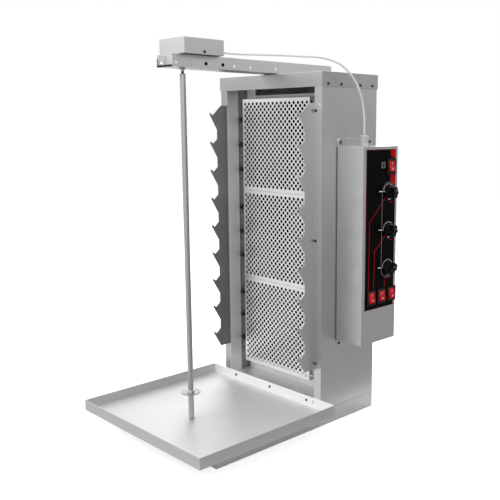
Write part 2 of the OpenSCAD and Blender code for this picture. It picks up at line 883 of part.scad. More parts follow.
module motor_pinion() {
  color("silver") translate([0, pinion_y, case_z + case_t + gear_lift]) {
    linear_extrude(gear_h) rotate(-90 + 180 / small_teeth) gear_outline(small_teeth);
    cylinder(r = pinion_shaft_r, h = case_h + can_h - 2 * can_wall);
  }
}

// Spit

module output_shaft() {
  top = case_z + case_t + gear_lift + gear_h;
  color("silver") translate([0, -spit_y, shaft_z]) difference() {
    union() {
      cylinder(r1 = shaft_r * 3 / 5, r2 = shaft_r, h = shaft_tip_h);
      translate([0, 0, shaft_tip_h]) cylinder(r = shaft_r, h = top - shaft_z - shaft_tip_h);
    }
    translate([0, 0, -cut]) cylinder(r = neck_r, h = neck_up + cut);
  }
}

module coupling_pin() {
  color("black") translate([0, -spit_y, spit_top - neck_down])
    cylinder(r = neck_r, h = neck_down + neck_gap + neck_up);
}

module spit_bar() {
  h = spit_top - spit_bottom;
  color("silver") translate([0, -spit_y, spit_bottom]) difference() {
    union() {
      cylinder(r = spit_r, h = h - spit_chamfer);
      translate([0, 0, h - spit_chamfer]) cylinder(r1 = spit_r, r2 = spit_r - spit_chamfer, h = spit_chamfer);
    }
    translate([0, 0, -cut]) cylinder(r = pivot_r + run_play, h = pivot_hole_h + cut);
    translate([0, 0, h - neck_down]) cylinder(r = neck_r, h = neck_down + cut);
  }
}

module meat_disc() {
  color("gainsboro") translate([0, -spit_y, disc_z]) rotate(screw_turn) difference() {
    union() {
      translate([0, 0, -disc_t]) cylinder(r = disc_r, h = disc_t);
      translate([0, 0, -disc_t - collar_down]) cylinder(r = collar_r, h = disc_t + collar_down + collar_up);
    }
    translate([0, 0, -disc_t - collar_down - cut])
      cylinder(r = spit_r + run_play, h = disc_t + collar_down + collar_up + 2 * cut);
    translate([0, 0, -disc_t - collar_down / 2]) rotate([0, -90, 0])
      cylinder(r = disc_screw_r, h = collar_r + cut);
  }
}

module disc_screw() {
  color("dimgray") translate([0, -spit_y, disc_z - disc_t - collar_down / 2]) rotate(screw_turn)
    rotate([0, -90, 0]) translate([0, 0, spit_r + slide_play]) cylinder(r = disc_screw_r, h = disc_screw_l);
}

// Control box

module control_plate() {
  d = ctl_d - 2 * plate_in;
  h = ctl_h + 2 * lug_h;
  color("silver") difference() {
    translate([body_w / 2, ctl_mid_y - d / 2, ctl_z - lug_h]) rotate([90, 0, 90]) linear_extrude(plate_t)
      hull() for (y = [lug_corner_r, d - lug_corner_r], z = [lug_corner_r, h - lug_corner_r])
        translate([y, z]) circle(lug_corner_r);
    screw_holes(lug_screws);
    wire_hole();
  }
}

module control_shell() {
  color("silver") difference() {
    translate([ctl_x, ctl_y, ctl_z]) cube([face_x - ctl_x, ctl_d, ctl_h]);
    translate([ctl_x - cut, ctl_y + ctl_t, ctl_z + ctl_t])
      cube([face_x - ctl_x - ctl_t + cut, ctl_d - 2 * ctl_t, ctl_h - 2 * ctl_t]);
    face_cuts();
    bore([gland_x, gland_y, ctl_z + ctl_h], "+z", gland_tail_r, 4 * ctl_t);
  }
}

// Place of a dial on the face, as [y, z], from the top one down
function dial_place(i) = [dial_y, dial_z + (1 - i) * dial_pitch];

// The openings that the label and the shell share
module face_cuts() {
  w = rocker_w + 2 * rocker_play + 2 * switch_body_t;
  h = rocker_h + 2 * rocker_play + 2 * switch_body_t;
  for (p = rocker_places) translate([face_x - 2 * ctl_t, p[0] - w / 2, p[1] - h / 2])
    cube([4 * ctl_t, w, h]);
  for (i = [0:2]) translate([face_x, dial_place(i)[0], dial_place(i)[1]]) rotate([0, 90, 0])
    translate([0, 0, -2 * ctl_t]) cylinder(r = shaft_hole_r, h = 4 * ctl_t);
  translate([face_x - 2 * ctl_t, lamp_y - lamp_w / 2 + ctl_t, lamp_z - lamp_h / 2 + ctl_t])
    cube([4 * ctl_t, lamp_w - 2 * ctl_t, lamp_h - 2 * ctl_t]);
}

module control_label() {
  color("black") difference() {
    translate([face_x, label_y, label_z]) cube([label_t, label_w, label_h]);
    face_cuts();
  }
}

module regulators() {
  color("ivory") for (i = [0:2]) difference() {
    translate([face_x - ctl_t - regulator_l, dial_place(i)[0] - regulator_w / 2, dial_place(i)[1] - regulator_h / 2])
      cube([regulator_l, min(regulator_w, ctl_y + ctl_d - ctl_t - dial_y + regulator_w / 2), regulator_h]);
    translate([face_x - ctl_t - regulator_depth, dial_place(i)[0], dial_place(i)[1]]) rotate([0, 90, 0])
      cylinder(r = regulator_shaft_r + run_play, h = regulator_depth + cut);
  }
}

module regulator_shaft(i) {
  color("silver") translate([face_x - ctl_t - regulator_depth + knob_gap, dial_place(i)[0], dial_place(i)[1]])
    rotate([0, 90, 0]) cylinder(r = regulator_shaft_r, h = regulator_depth + ctl_t + label_t + shaft_out);
}

// A knob: round skirt, wing grip and a dome, pressed on its shaft
module knob(i) {
  shaft_end = face_x + label_t + shaft_out + knob_gap;
  color("black") difference() {
    translate([label_x + knob_gap, dial_place(i)[0], dial_place(i)[1]]) rotate([dial_turns[i], 0, 0])
      rotate([0, 90, 0]) {
        cylinder(r = knob_r, h = knob_skirt_h);
        translate([0, 0, knob_skirt_h]) intersection() {
          translate([-knob_r, -knob_wing_w / 2, 0]) cube([2 * knob_r, knob_wing_w, knob_wing_h]);
          cylinder(r = knob_wing_r, h = knob_wing_h);
        }
        translate([0, 0, knob_skirt_h + knob_wing_h]) intersection() {
          translate([0, 0, knob_dome_h - dome_r]) sphere(r = dome_r);
          cylinder(r = knob_dome_r, h = knob_dome_h);
        }
      }
    translate([face_x, dial_place(i)[0], dial_place(i)[1]]) rotate([0, 90, 0])
      cylinder(r = regulator_shaft_r, h = shaft_end - face_x);
  }
}

// Frames and bodies of the four switches
module switch_frames() {
  w = rocker_w + 2 * rocker_play;
  h = rocker_h + 2 * rocker_play;
  color("black") for (p = rocker_places) difference() {
    union() {
      translate([label_x, p[0] - w / 2 - frame_side / 2, p[1] - h / 2 - frame_edge / 2])
        cube([frame_out, w + frame_side, h + frame_edge]);
      translate([face_x - ctl_t - switch_l, p[0] - w / 2 - switch_body_t, p[1] - h / 2 - switch_body_t])
        cube([switch_l + ctl_t + label_t, w + 2 * switch_body_t, h + 2 * switch_body_t]);
    }
    translate([face_x - ctl_t - switch_l + 4 * switch_body_t, p[0] - w / 2, p[1] - h / 2])
      cube([2 * switch_l, w, h]);
    translate([rocker_axis_x, p[0], p[1]]) rotate([90, 0, 0])
      translate([0, 0, -w / 2 - switch_body_t / 2])
      cylinder(r = rocker_pin_r + run_play, h = w + switch_body_t);
  }
}

// A rocker, tilted so that its lower end stands out; it turns on two short pins
module rocker(i) {
  p = rocker_places[i];
  w = rocker_w + 2 * rocker_play;
  out = rocker_out + ctl_t + label_t + frame_out / 2;
  end = rocker_h / 2 * rocker_end_share;
  color("red") translate([rocker_axis_x, p[0], p[1]]) rotate([0, -rocker_tilt, 0]) {
    rotate([90, 0, 0]) translate([0, 0, -rocker_w / 2]) linear_extrude(rocker_w) polygon([
      [-rocker_in, -rocker_h / 4], [0, -rocker_h / 2], [out, -end],
      [out * rocker_dip_share, 0], [out, end], [0, rocker_h / 2], [-rocker_in, rocker_h / 4]]);
    rotate([90, 0, 0]) translate([0, 0, -w / 2 - switch_body_t / 2 + run_play])
      cylinder(r = rocker_pin_r, h = w + switch_body_t - 2 * run_play);
  }
}

module indicator_lamp() {
  color("darkred") {
    translate([label_x, lamp_y - lamp_w / 2, lamp_z - lamp_h / 2]) cube([lamp_out, lamp_w, lamp_h]);
    translate([label_x - lamp_l, lamp_y - lamp_w / 2 + ctl_t, lamp_z - lamp_h / 2 + ctl_t])
      cube([lamp_l, lamp_w - 2 * ctl_t, lamp_h - 2 * ctl_t]);
  }
}

module cable_gland() {
  z = ctl_z + ctl_h;
  color("whitesmoke") translate([gland_x, gland_y, z]) difference() {
    union() {
      cylinder(r = gland_body_r, h = gland_body_h);
      translate([0, 0, gland_body_h]) cylinder(r = gland_lip_r, h = gland_lip_h);
      translate([0, 0, -gland_tail_h]) cylinder(r = gland_tail_r, h = gland_tail_h);
    }
    translate([0, 0, -gland_tail_h - cut])
      cylinder(r = core_r, h = gland_top - z + gland_tail_h + 2 * cut);
  }
}

module mains_gland() {
  color("black") translate([mains_gland_x, body_d - sheet_t, mains_gland_z]) rotate([-90, 0, 0])
    difference() {
      union() {
        cylinder(r = mains_gland_r, h = mains_gland_l);
        translate([0, 0, -mains_tail_l]) cylinder(r = mains_tail_r, h = mains_tail_l);
      }
      translate([0, 0, -mains_tail_l - cut])
        cylinder(r = mains_bore_r, h = mains_gland_l + mains_tail_l + 2 * cut);
    }
}

module terminal_block() {
  color("ivory") translate([block_x, block_y, base_h]) cube([block_w, block_d, block_h]);
}

// Cable

// A smooth curve through four points of the route, t from 0 to 1
function curve(a, b, c, d, t) = 0.5 * (2 * b + (c - a) * t + (2 * a - 5 * b + 4 * c - d) * t * t
  + (3 * b - a - 3 * c + d) * t * t * t);
function clamped(i) = cable_route[max(0, min(len(cable_route) - 1, i))];
cable_points = concat(
  [for (i = [0:len(cable_route) - 2], s = [0:cable_steps - 1])
    curve(clamped(i - 1), clamped(i), clamped(i + 1), clamped(i + 2), s / cable_steps)],
  [cable_route[len(cable_route) - 1]]);
cable_across = [0.827, -0.562, 0];
function direction(v) = v / norm(v);
function heading(i) = i == 0 ? [0, 1, 0] : i == len(cable_points) - 1 ? [0, 0, -1]
  : direction(cable_points[i + 1] - cable_points[i - 1]);
function ring(i) = let(h = heading(i), u = direction(cross(h, cable_across)), v = cross(h, u))
  [for (k = [0:cable_sides - 1])
    cable_points[i] + cable_d / 2 * (cos(k * 360 / cable_sides) * u + sin(k * 360 / cable_sides) * v)];

module motor_cable() {
  n = cable_sides;
  rings = len(cable_points);
  points = [for (i = [0:rings - 1]) each ring(i)];
  walls = [for (i = [0:rings - 2], k = [0:n - 1]) each [
    [i * n + k, i * n + (k + 1) % n, (i + 1) * n + k],
    [i * n + (k + 1) % n, (i + 1) * n + (k + 1) % n, (i + 1) * n + k]]];
  ends = [for (k = [1:n - 2]) each [[0, k + 1, k], [(rings - 1) * n, (rings - 1) * n + k, (rings - 1) * n + k + 1]]];
  color("whitesmoke") polyhedron(points, concat(walls, ends));
}

base_shell();
base_plate();
drip_tray();
pivot_stud();
left_side_panel();
right_side_panel();
rear_cover();
top_cap();
cavity_floor();
burner_box();
radiant_board();
heater_rods(2);  // heater_rods_top
heater_rods(1);  // heater_rods_middle
heater_rods(0);  // heater_rods_bottom
rod_insulators();
insulation_blanket();
screen(2);  // screen_top
screen(1);  // screen_middle
screen(0);  // screen_bottom
rack_left();
rack_right();
panel_screws();
arm_doubler();
arm_channel();
arm_flanges();
arm_bolts();
motor_bracket();
shaft_bush();
gear_case();
gear_lid();
motor_can();
motor_cover();
motor_gland();
motor_cable();
motor_pinion();
drive_gear();
output_shaft();
coupling_pin();
spit_bar();
meat_disc();
disc_screw();
control_plate();
control_shell();
control_label();
regulators();
switch_frames();
indicator_lamp();
cable_gland();
mains_gland();
terminal_block();
knob(0);  // knob_top
knob(1);  // knob_middle
knob(2);  // knob_bottom
regulator_shaft(0);  // regulator_shaft_top
regulator_shaft(1);  // regulator_shaft_middle
regulator_shaft(2);  // regulator_shaft_bottom
rocker(0);  // rocker_main
rocker(1);  // rocker_left
rocker(2);  // rocker_middle
rocker(3);  // rocker_right
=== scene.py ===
# Dresses the doner grill: brushed stainless sheet, perforated screens, a printed control
# label, knobs, rockers, screws and the motor's cable. Everything is in metres, in the
# part's own frame: +X to the control box, +Y to the back, +Z up, the ground at zero.
import math

import bmesh
import bpy
from mathutils import Euler, Matrix, Vector


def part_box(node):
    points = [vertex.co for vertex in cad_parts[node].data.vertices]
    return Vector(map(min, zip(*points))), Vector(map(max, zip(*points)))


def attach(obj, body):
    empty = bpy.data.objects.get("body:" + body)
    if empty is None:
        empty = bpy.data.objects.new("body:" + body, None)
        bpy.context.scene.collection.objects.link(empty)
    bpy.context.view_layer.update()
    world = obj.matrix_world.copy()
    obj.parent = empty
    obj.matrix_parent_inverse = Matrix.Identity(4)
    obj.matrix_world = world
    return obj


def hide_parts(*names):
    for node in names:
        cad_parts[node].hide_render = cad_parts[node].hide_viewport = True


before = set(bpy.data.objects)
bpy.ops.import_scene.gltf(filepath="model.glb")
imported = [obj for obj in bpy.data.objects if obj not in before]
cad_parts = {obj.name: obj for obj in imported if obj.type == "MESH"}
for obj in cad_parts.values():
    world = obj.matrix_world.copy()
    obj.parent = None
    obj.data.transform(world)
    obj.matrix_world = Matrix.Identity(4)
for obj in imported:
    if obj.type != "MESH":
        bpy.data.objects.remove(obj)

MM = 0.001
bpy.context.scene.view_settings.view_transform = "Standard"
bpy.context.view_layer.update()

# The camera stands to the right and in front of the grill, a little below its top, and
# looks slightly down. The picture is square, and its subject stands left of the lens
# axis, which a small shift takes up.
camera_data = bpy.data.cameras.new("camera")
camera_data.sensor_width = 36
camera_data.lens = 53.07
camera_data.shift_x = -0.1039
camera_data.shift_y = 0.0005
camera = bpy.data.objects.new("camera", camera_data)
camera.location = (1.4811, -1.3590, 0.79175)
camera_pitch = 9.51
camera_azimuth = 44.88
camera.rotation_euler = Euler((math.radians(90 - camera_pitch), 0, math.radians(camera_azimuth)))
bpy.context.scene.collection.objects.link(camera)
bpy.context.scene.camera = camera


# Motor cable. A light grey PVC lead, about 5 mm thick, that runs from the gland behind the
# motor over the cap and drops into the gland on the control box. It is extruded, so its
# sheath is smooth and satin, with the faint lay of the cores showing through.
def linear(code):
    """An sRGB hex colour as linear red, green, blue and alpha."""
    shares = [int(code[i:i + 2], 16) / 255 for i in (0, 2, 4)]
    return [c / 12.92 if c <= 0.04045 else ((c + 0.055) / 1.055) ** 2.4 for c in shares] + [1]


def fit(tree, node, settings, links):
    """Sets a node's properties and inputs, and links its other inputs to sockets."""
    for key, value in (settings or {}).items():
        if isinstance(key, str) and hasattr(node, key):
            setattr(node, key, value)
        else:
            node.inputs[key].default_value = value
    for key, socket in (links or {}).items():
        tree.links.new(socket, node.inputs[key])
    return node


def add(tree, kind, settings=None, links=None):
    """Adds a node to a tree, with its settings and what its inputs are linked to."""
    return fit(tree, tree.nodes.new(kind), settings, links)


def finish_of(name):
    """A new material, with its node tree and its shader."""
    material = bpy.data.materials.new(name)
    material.use_nodes = True
    return material, material.node_tree, material.node_tree.nodes["Principled BSDF"]


def pvc_sheath(name, colour, shade):
    """Soft PVC: satin, a little lighter and darker along the lead where hands have been."""
    material, tree, shader = finish_of(name)
    place = add(tree, "ShaderNodeTexCoord").outputs["Object"]
    handling_mm = 60
    soil = add(tree, "ShaderNodeTexNoise", {"Scale": 1 / (handling_mm * MM), "Detail": 4},
               {"Vector": place})
    tint = add(tree, "ShaderNodeMix", {"data_type": "RGBA", 6: linear(colour), 7: linear(shade)},
               {0: soil.outputs["Fac"]})
    gloss = add(tree, "ShaderNodeMapRange", {"To Min": 0.38, "To Max": 0.55},
                {"Value": soil.outputs["Fac"]})
    core_lay_mm = 9
    lay = add(tree, "ShaderNodeTexWave", {"Scale": 1 / (core_lay_mm * MM) / 6, "Distortion": 2},
              {"Vector": place})
    bump = add(tree, "ShaderNodeBump", {"Strength": 0.15, "Distance": 0.1 * MM},
               {"Height": lay.outputs["Fac"]})
    fit(tree, shader, {"IOR": 1.53},
        {"Base Color": tint.outputs[2], "Roughness": gloss.outputs["Result"],
         "Normal": bump.outputs["Normal"]})
    return material


cable_diameter = 5.2 * MM
cable_route_mm = [
    (24, -179, 971), (24.5, -167, 971), (32, -151, 970), (49, -127, 969), (80, -92, 968),
    (112, -58, 967), (144, -22, 965), (171, 14, 963), (193, 46, 955), (208, 67, 941),
    (220, 84, 921), (230, 97, 895), (237, 106, 862), (241, 110.5, 828), (242, 112, 798),
    (242, 112, 770.3),
]


def smooth_route(points, steps):
    """Points of a smooth curve through the given ones, a few steps to each stretch."""
    last = len(points) - 1
    found = []
    for i in range(last):
        a, b, c, d = (Vector(points[max(0, min(last, i + k))]) for k in (-1, 0, 1, 2))
        for s in range(steps):
            t = s / steps
            found.append(0.5 * (2 * b + (c - a) * t + (2 * a - 5 * b + 4 * c - d) * t * t
                                + (3 * b - a - 3 * c + d) * t ** 3))
    return found + [Vector(points[last])]


steps_to_a_stretch = 3
cable_line = [p * MM for p in smooth_route(cable_route_mm, steps_to_a_stretch)]
cable_curve = bpy.data.curves.new("motor_cable_lead", "CURVE")
cable_curve.dimensions = "3D"
cable_curve.bevel_depth = cable_diameter / 2
cable_curve.bevel_resolution = 6
cable_curve.use_fill_caps = True
cable_spline = cable_curve.splines.new("POLY")
cable_spline.points.add(len(cable_line) - 1)
for spot, p in zip(cable_spline.points, cable_line):
    spot.co = (*p, 1)
cable_spline.use_smooth = True
cable = bpy.data.objects.new("motor_cable_lead", cable_curve)
bpy.context.scene.collection.objects.link(cable)
cable.data.materials.append(pvc_sheath("extruded PVC sheath, light grey", "DCDCDA", "C6C6C3"))
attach(cable, "frame")
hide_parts("motor_cable")

# The studio. A white paper sweep, a white surround and large soft lamps. Bright sheet
# would burn out in it, so sloping grey cards, which only the reflections see, stand where the
# sheets to the right and to the front mirror the room.
world = bpy.data.worlds.new("white surround")
bpy.context.scene.world = world
world.use_nodes = True
world.node_tree.nodes.clear()
rays = add(world.node_tree, "ShaderNodeLightPath")
seen = add(world.node_tree, "ShaderNodeMath", {"operation": "MAXIMUM"},
           {0: rays.outputs["Is Camera Ray"], 1: rays.outputs["Is Glossy Ray"]})
seen = add(world.node_tree, "ShaderNodeMath", {"operation": "MAXIMUM"},
           {0: seen.outputs[0], 1: rays.outputs["Is Transmission Ray"]})
fill_light = add(world.node_tree, "ShaderNodeBackground", {"Color": linear("FFFFFF"), "Strength": 0.55})
white_surround = add(world.node_tree, "ShaderNodeBackground", {"Color": linear("FFFFFF"), "Strength": 1})
either = add(world.node_tree, "ShaderNodeMixShader", None,
             {0: seen.outputs[0], 1: fill_light.outputs[0], 2: white_surround.outputs[0]})
add(world.node_tree, "ShaderNodeOutputWorld", None, {"Surface": either.outputs[0]})


def stand(name, corners, material):
    """A flat sheet of the studio, through four corners."""
    mesh = bpy.data.meshes.new(name)
    mesh.from_pydata(corners, [], [(0, 1, 2, 3)])
    sheet = bpy.data.objects.new(name, mesh)
    sheet.data.materials.append(material)
    bpy.context.scene.collection.objects.link(sheet)
    return sheet


paper, paper_tree, paper_shader = finish_of("matt white paper")
paper_rays = add(paper_tree, "ShaderNodeLightPath")
camera_glow = add(paper_tree, "ShaderNodeMath", {"operation": "MULTIPLY", 1: 0.62},
                  {0: paper_rays.outputs["Is Camera Ray"]})
glossy_glow = add(paper_tree, "ShaderNodeMath", {"operation": "MULTIPLY", 1: 0.1},
                  {0: paper_rays.outputs["Is Glossy Ray"]})
paper_glow = add(paper_tree, "ShaderNodeMath", {"operation": "ADD"},
                 {0: camera_glow.outputs[0], 1: glossy_glow.outputs[0]})
fit(paper_tree, paper_shader,
    {"Base Color": linear("F0F0F0"), "Roughness": 0.9, "Emission Color": linear("FFFFFF")},
    {"Emission Strength": paper_glow.outputs[0]})
sweep = 6
stand("paper_floor", [(-sweep, -sweep, 0), (sweep, -sweep, 0), (sweep, sweep, 0), (-sweep, sweep, 0)],
      paper)


def card(name, grey, corners):
    """A sloping card of one grey that only reflections see: the lamps' light passes it."""
    material, tree, shader = finish_of(name + " board")
    fit(tree, shader, {"Base Color": linear("000000"), "Roughness": 1, "Specular IOR Level": 0,
                       "Emission Color": linear(grey), "Emission Strength": 1}, None)
    sheet = stand(name, corners, material)
    sheet.visible_camera = False
    sheet.visible_diffuse = False
    sheet.visible_shadow = False


above_floor = 0.001
card("card_right", "A8A8A8",
     [(0.30, -0.9, above_floor), (0.30, 3.4, above_floor), (3.2, 3.4, 2.0), (3.2, -0.9, 2.0)])
near_edge, far_edge = (-0.46, above_floor), (-3.2, 1.9)
for name, grey, right_x, left_x in (("card_front", "E6E6E6", 0.34, -1.33),
                                    ("card_left", "C0C0C0", -1.33, -3.4)):
    card(name, grey,
         [(right_x, *near_edge), (left_x, *near_edge), (left_x, *far_edge), (right_x, *far_edge)])


def lamp(name, place, aim, size, power):
    """A square soft lamp at a place, turned to what it lights."""
    light = bpy.data.lights.new(name, "AREA")
    light.size = size
    light.energy = power
    lit = bpy.data.objects.new(name, light)
    lit.location = place
    lit.visible_camera = False
    lit.rotation_euler = (Vector(aim) - Vector(place)).to_track_quat("-Z", "Y").to_euler()
    bpy.context.scene.collection.objects.link(lit)


lamp("key_lamp", (-1.2, -2.6, 2.6), (0, 0, 0.5), size=1.8, power=42)
lamp("side_lamp", (2.8, -1.0, 2.2), (0, 0, 0.5), size=1.6, power=22)
lamp("top_lamp", (0, 0.2, 3.2), (0, -0.1, 0), size=2.0, power=34)
lamp("back_lamp", (-2.4, 2.4, 1.5), (0, 0, 0.2), size=2.2, power=30)


# Plinth. A folded box of 1.5 mm stainless sheet, spot-welded at its corners and open
# below, with a flat floor plate. Like all the body sheets it was brushed with a fine
# belt along its length before it was folded.
def inside_box(tree, place, low, high):
    """1 within a box given by two corners in the part's frame, 0 outside it."""
    middle = [(a + b) / 2 for a, b in zip(low, high)]
    reach = [(b - a) / 2 for a, b in zip(low, high)]
    away = add(tree, "ShaderNodeVectorMath", {"operation": "SUBTRACT", 1: middle}, {0: place})
    away = add(tree, "ShaderNodeVectorMath", {"operation": "ABSOLUTE"}, {0: away.outputs[0]})
    room = add(tree, "ShaderNodeVectorMath", {"operation": "SUBTRACT", 0: reach}, {1: away.outputs[0]})
    room = add(tree, "ShaderNodeSeparateXYZ", None, {0: room.outputs[0]})
    least = add(tree, "ShaderNodeMath", {"operation": "MINIMUM"},
                {0: room.outputs["X"], 1: room.outputs["Y"]})
    least = add(tree, "ShaderNodeMath", {"operation": "MINIMUM"},
                {0: least.outputs[0], 1: room.outputs["Z"]})
    return add(tree, "ShaderNodeMath", {"operation": "GREATER_THAN", 1: 0},
               {0: least.outputs[0]}).outputs[0]


def brushed_stainless(name, colour, grain, roughness=0.34, contrast=0.025, metallic=1, patches=()):
    """Stainless sheet brushed along one axis: long fine streaks, a few soft smears. A patch
    is a colour, how metallic it is and the two corners of the box that it fills."""
    material, tree, shader = finish_of(name)
    place = add(tree, "ShaderNodeTexCoord").outputs["Object"]
    # Real brush lines are a tenth of this width, too fine to show from where the camera stands
    streak_mm, run_mm = 2.2, 220
    fine_mm, fine_run_mm = 0.5, 60

    def streaks(width, run, detail):
        share = [1 / (run * MM) if axis == grain else 1 / (width * MM) for axis in "xyz"]
        stretched = add(tree, "ShaderNodeMapping", {"Scale": share}, {"Vector": place})
        return add(tree, "ShaderNodeTexNoise", {"Scale": 1, "Detail": detail},
                   {"Vector": stretched.outputs[0]})

    coarse = streaks(streak_mm, run_mm, 3)
    fine = streaks(fine_mm, fine_run_mm, 2)
    smear_mm = 130
    smear = add(tree, "ShaderNodeTexNoise", {"Scale": 1 / (smear_mm * MM), "Detail": 3, "Roughness": 0.6},
                {"Vector": place})

    def streaked(code):
        base = linear(code)
        dark = [c * (1 - contrast) for c in base[:3]] + [1]
        light = [min(1, c * (1 + contrast)) for c in base[:3]] + [1]
        return add(tree, "ShaderNodeMix", {"data_type": "RGBA", 6: dark, 7: light},
                   {0: coarse.outputs["Fac"]})

    tint = streaked(colour)
    metal = None
    for patch_colour, patch_metallic, low, high in patches:
        within = inside_box(tree, place, low, high)
        tint = add(tree, "ShaderNodeMix", {"data_type": "RGBA"},
                   {0: within, 6: tint.outputs[2], 7: streaked(patch_colour).outputs[2]})
        under = {2: metal.outputs[0]} if metal else {}
        metal = add(tree, "ShaderNodeMix", {"data_type": "FLOAT", 2: metallic, 3: patch_metallic},
                    {0: within, **under})
    both = add(tree, "ShaderNodeMath", {"operation": "ADD"},
               {0: coarse.outputs["Fac"], 1: smear.outputs["Fac"]})
    gloss = add(tree, "ShaderNodeMapRange",
                {"From Min": 0.6, "From Max": 1.4, "To Min": roughness - 0.05, "To Max": roughness + 0.07},
                {"Value": both.outputs[0]})
    scratch = add(tree, "ShaderNodeBump", {"Strength": 0.12, "Distance": 0.02 * MM},
                  {"Height": fine.outputs["Fac"]})
    patched = {"Metallic": metal.outputs[0]} if metal else {}
    fit(tree, shader, {"Metallic": metallic},
        {"Base Color": tint.outputs[2], "Roughness": gloss.outputs["Result"],
         "Normal": scratch.outputs["Normal"], **patched})
    return material


weld_gap = 0.005 * MM
sharp_from = math.radians(50)


def dress(material, edge, *names):
    """Gives CAD nodes their finish, and breaks their sharp edges as a press brake does."""
    for name in names:
        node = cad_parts[name]
        node.data.materials.clear()
        node.data.materials.append(material)
        if edge:
            seam = node.modifiers.new("seam", "WELD")
            seam.merge_threshold = weld_gap
            fold = node.modifiers.new("fold", "BEVEL")
            fold.width = edge
            fold.segments = 2
            fold.limit_method = "ANGLE"
            fold.angle_limit = sharp_from
            fold.use_clamp_overlap = False
            fold.harden_normals = True
            fold.loop_slide = False


sheet_fold = 0.7 * MM
dress(brushed_stainless("brushed stainless plinth", "C6C6C6", "y"), sheet_fold, "base_shell", "base_plate")

# Drip tray. Brighter 2 mm stainless, folded up on four sides and welded at the corners,
# then brushed from side to side. Its floor is a lighter zone and the inner face of its back
# wall near white and less metallic: painted light.
tray_low, tray_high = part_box("drip_tray")
tray_sheet = 2 * MM
half_sheet = tray_sheet / 2
floor_z, back_y = tray_low.z + 1.1 * tray_sheet, tray_high.y - 1.25 * tray_sheet
# Painted light: a lighter floor, and a near white, less metallic back wall inside.
tray_floor_painted_light = ("D0D0D0", 0.95, (tray_low.x + half_sheet, tray_low.y + half_sheet, tray_low.z + half_sheet),
              (tray_high.x - half_sheet, tray_high.y - half_sheet, floor_z))
tray_back_painted_light = ("FCFCFC", 0.8, (tray_low.x + half_sheet, back_y, floor_z),
             (tray_high.x - half_sheet, tray_high.y - half_sheet, tray_high.z + half_sheet))
tray_steel = brushed_stainless("brushed stainless tray", "C8C8C8", "x", 0.6, 0.015,
                               patches=(tray_floor_painted_light, tray_back_painted_light))
dress(tray_steel, sheet_fold, "drip_tray")

# Pivot of the spit. A turned steel stud on a thin foot that stands on the tray's floor,
# stained dark by fat and heat.
dress(brushed_stainless("turned steel, heat-stained", "5A5957", "x", 0.35), 0, "pivot_stud")

# Tower. Two folded side sheets with front jambs, a rear cover with vents, a pressed cap
# and a cavity floor, all 1.5 mm stainless, brushed upright on the sides and across on
# the cap. The left side sheet is a darker copy of the right one, painted shade, and the
# inner face of its return is near white and less metallic, painted light.
upright_steel = brushed_stainless("brushed stainless side sheet", "D0D0D0", "z")
side_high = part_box("left_side_panel")[1]
return_reach = 2 * MM
# Painted light: the inner face of the left return is near white and less metallic.
return_painted_light = ("F0F0F0", 0.7, (side_high.x - return_reach, 0, 0),
                 (side_high.x + return_reach, side_high.y, side_high.z))
# Painted shade: the left side sheet is a darker copy of the side sheet.
left_side_shaded_steel_lit_return = brushed_stainless("brushed stainless side sheet, polished return", "B6B6B6", "z", 0.38,
                                    patches=(return_painted_light,))
cross_steel = brushed_stainless("brushed stainless cap sheet", "C0C0C0", "x")
floor_steel = brushed_stainless("brushed stainless cavity floor", "F2F2F2", "x", 0.4, metallic=0.8)
dress(upright_steel, sheet_fold, "right_side_panel", "rear_cover")
dress(left_side_shaded_steel_lit_return, sheet_fold, "left_side_panel")
dress(cross_steel, sheet_fold, "top_cap")
dress(floor_steel, sheet_fold, "cavity_floor")

# Burner box. The back plate and the side walls of the heating zone, of sheet that throws
# the heat forward, with a dark fibre board behind the rods. The back plate is near white
# and only a fifth metallic: painted light.
def heat_stained_sheet_lit_back(name, bright, stained, stain_from):
    """Annealed sheet: near white and little metallic over the back plate, painted light, and stained on the
    walls by the rods.
    """
    material, tree, shader = finish_of(name)
    place = add(tree, "ShaderNodeTexCoord").outputs["Object"]
    cloud_mm = 25
    cloud = add(tree, "ShaderNodeTexNoise", {"Scale": 1 / (cloud_mm * MM), "Detail": 4}, {"Vector": place})
    across = add(tree, "ShaderNodeSeparateXYZ", None, {0: place})
    distance = add(tree, "ShaderNodeMath", {"operation": "ABSOLUTE"}, {0: across.outputs["X"]})
    fade_mm = 8
    heat = add(tree, "ShaderNodeMapRange", {"From Min": stain_from - fade_mm * MM, "From Max": stain_from},
               {"Value": distance.outputs[0]})
    bloom = [c * 0.8 for c in linear(stained)[:3]] + [1]
    stain = add(tree, "ShaderNodeMix", {"data_type": "RGBA", 6: linear(stained), 7: bloom},
                {0: cloud.outputs["Fac"]})
    sheet = add(tree, "ShaderNodeMix", {"data_type": "RGBA", 6: linear(bright)},
                {0: heat.outputs["Result"], 7: stain.outputs[2]})
    metal = add(tree, "ShaderNodeMapRange", {"To Min": 0.2, "To Max": 1}, {"Value": heat.outputs["Result"]})
    gloss = add(tree, "ShaderNodeMapRange", {"To Min": 0.32, "To Max": 0.5},
                {"Value": cloud.outputs["Fac"]})
    fit(tree, shader, None,
        {"Base Color": sheet.outputs[2], "Metallic": metal.outputs["Result"],
         "Roughness": gloss.outputs["Result"]})
    return material


wall_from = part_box("burner_box")[1].x - 4 * MM
dress(heat_stained_sheet_lit_back("heat-stained annealed stainless", "F4F4F4", "A2A09C", wall_from),
      sheet_fold, "burner_box")


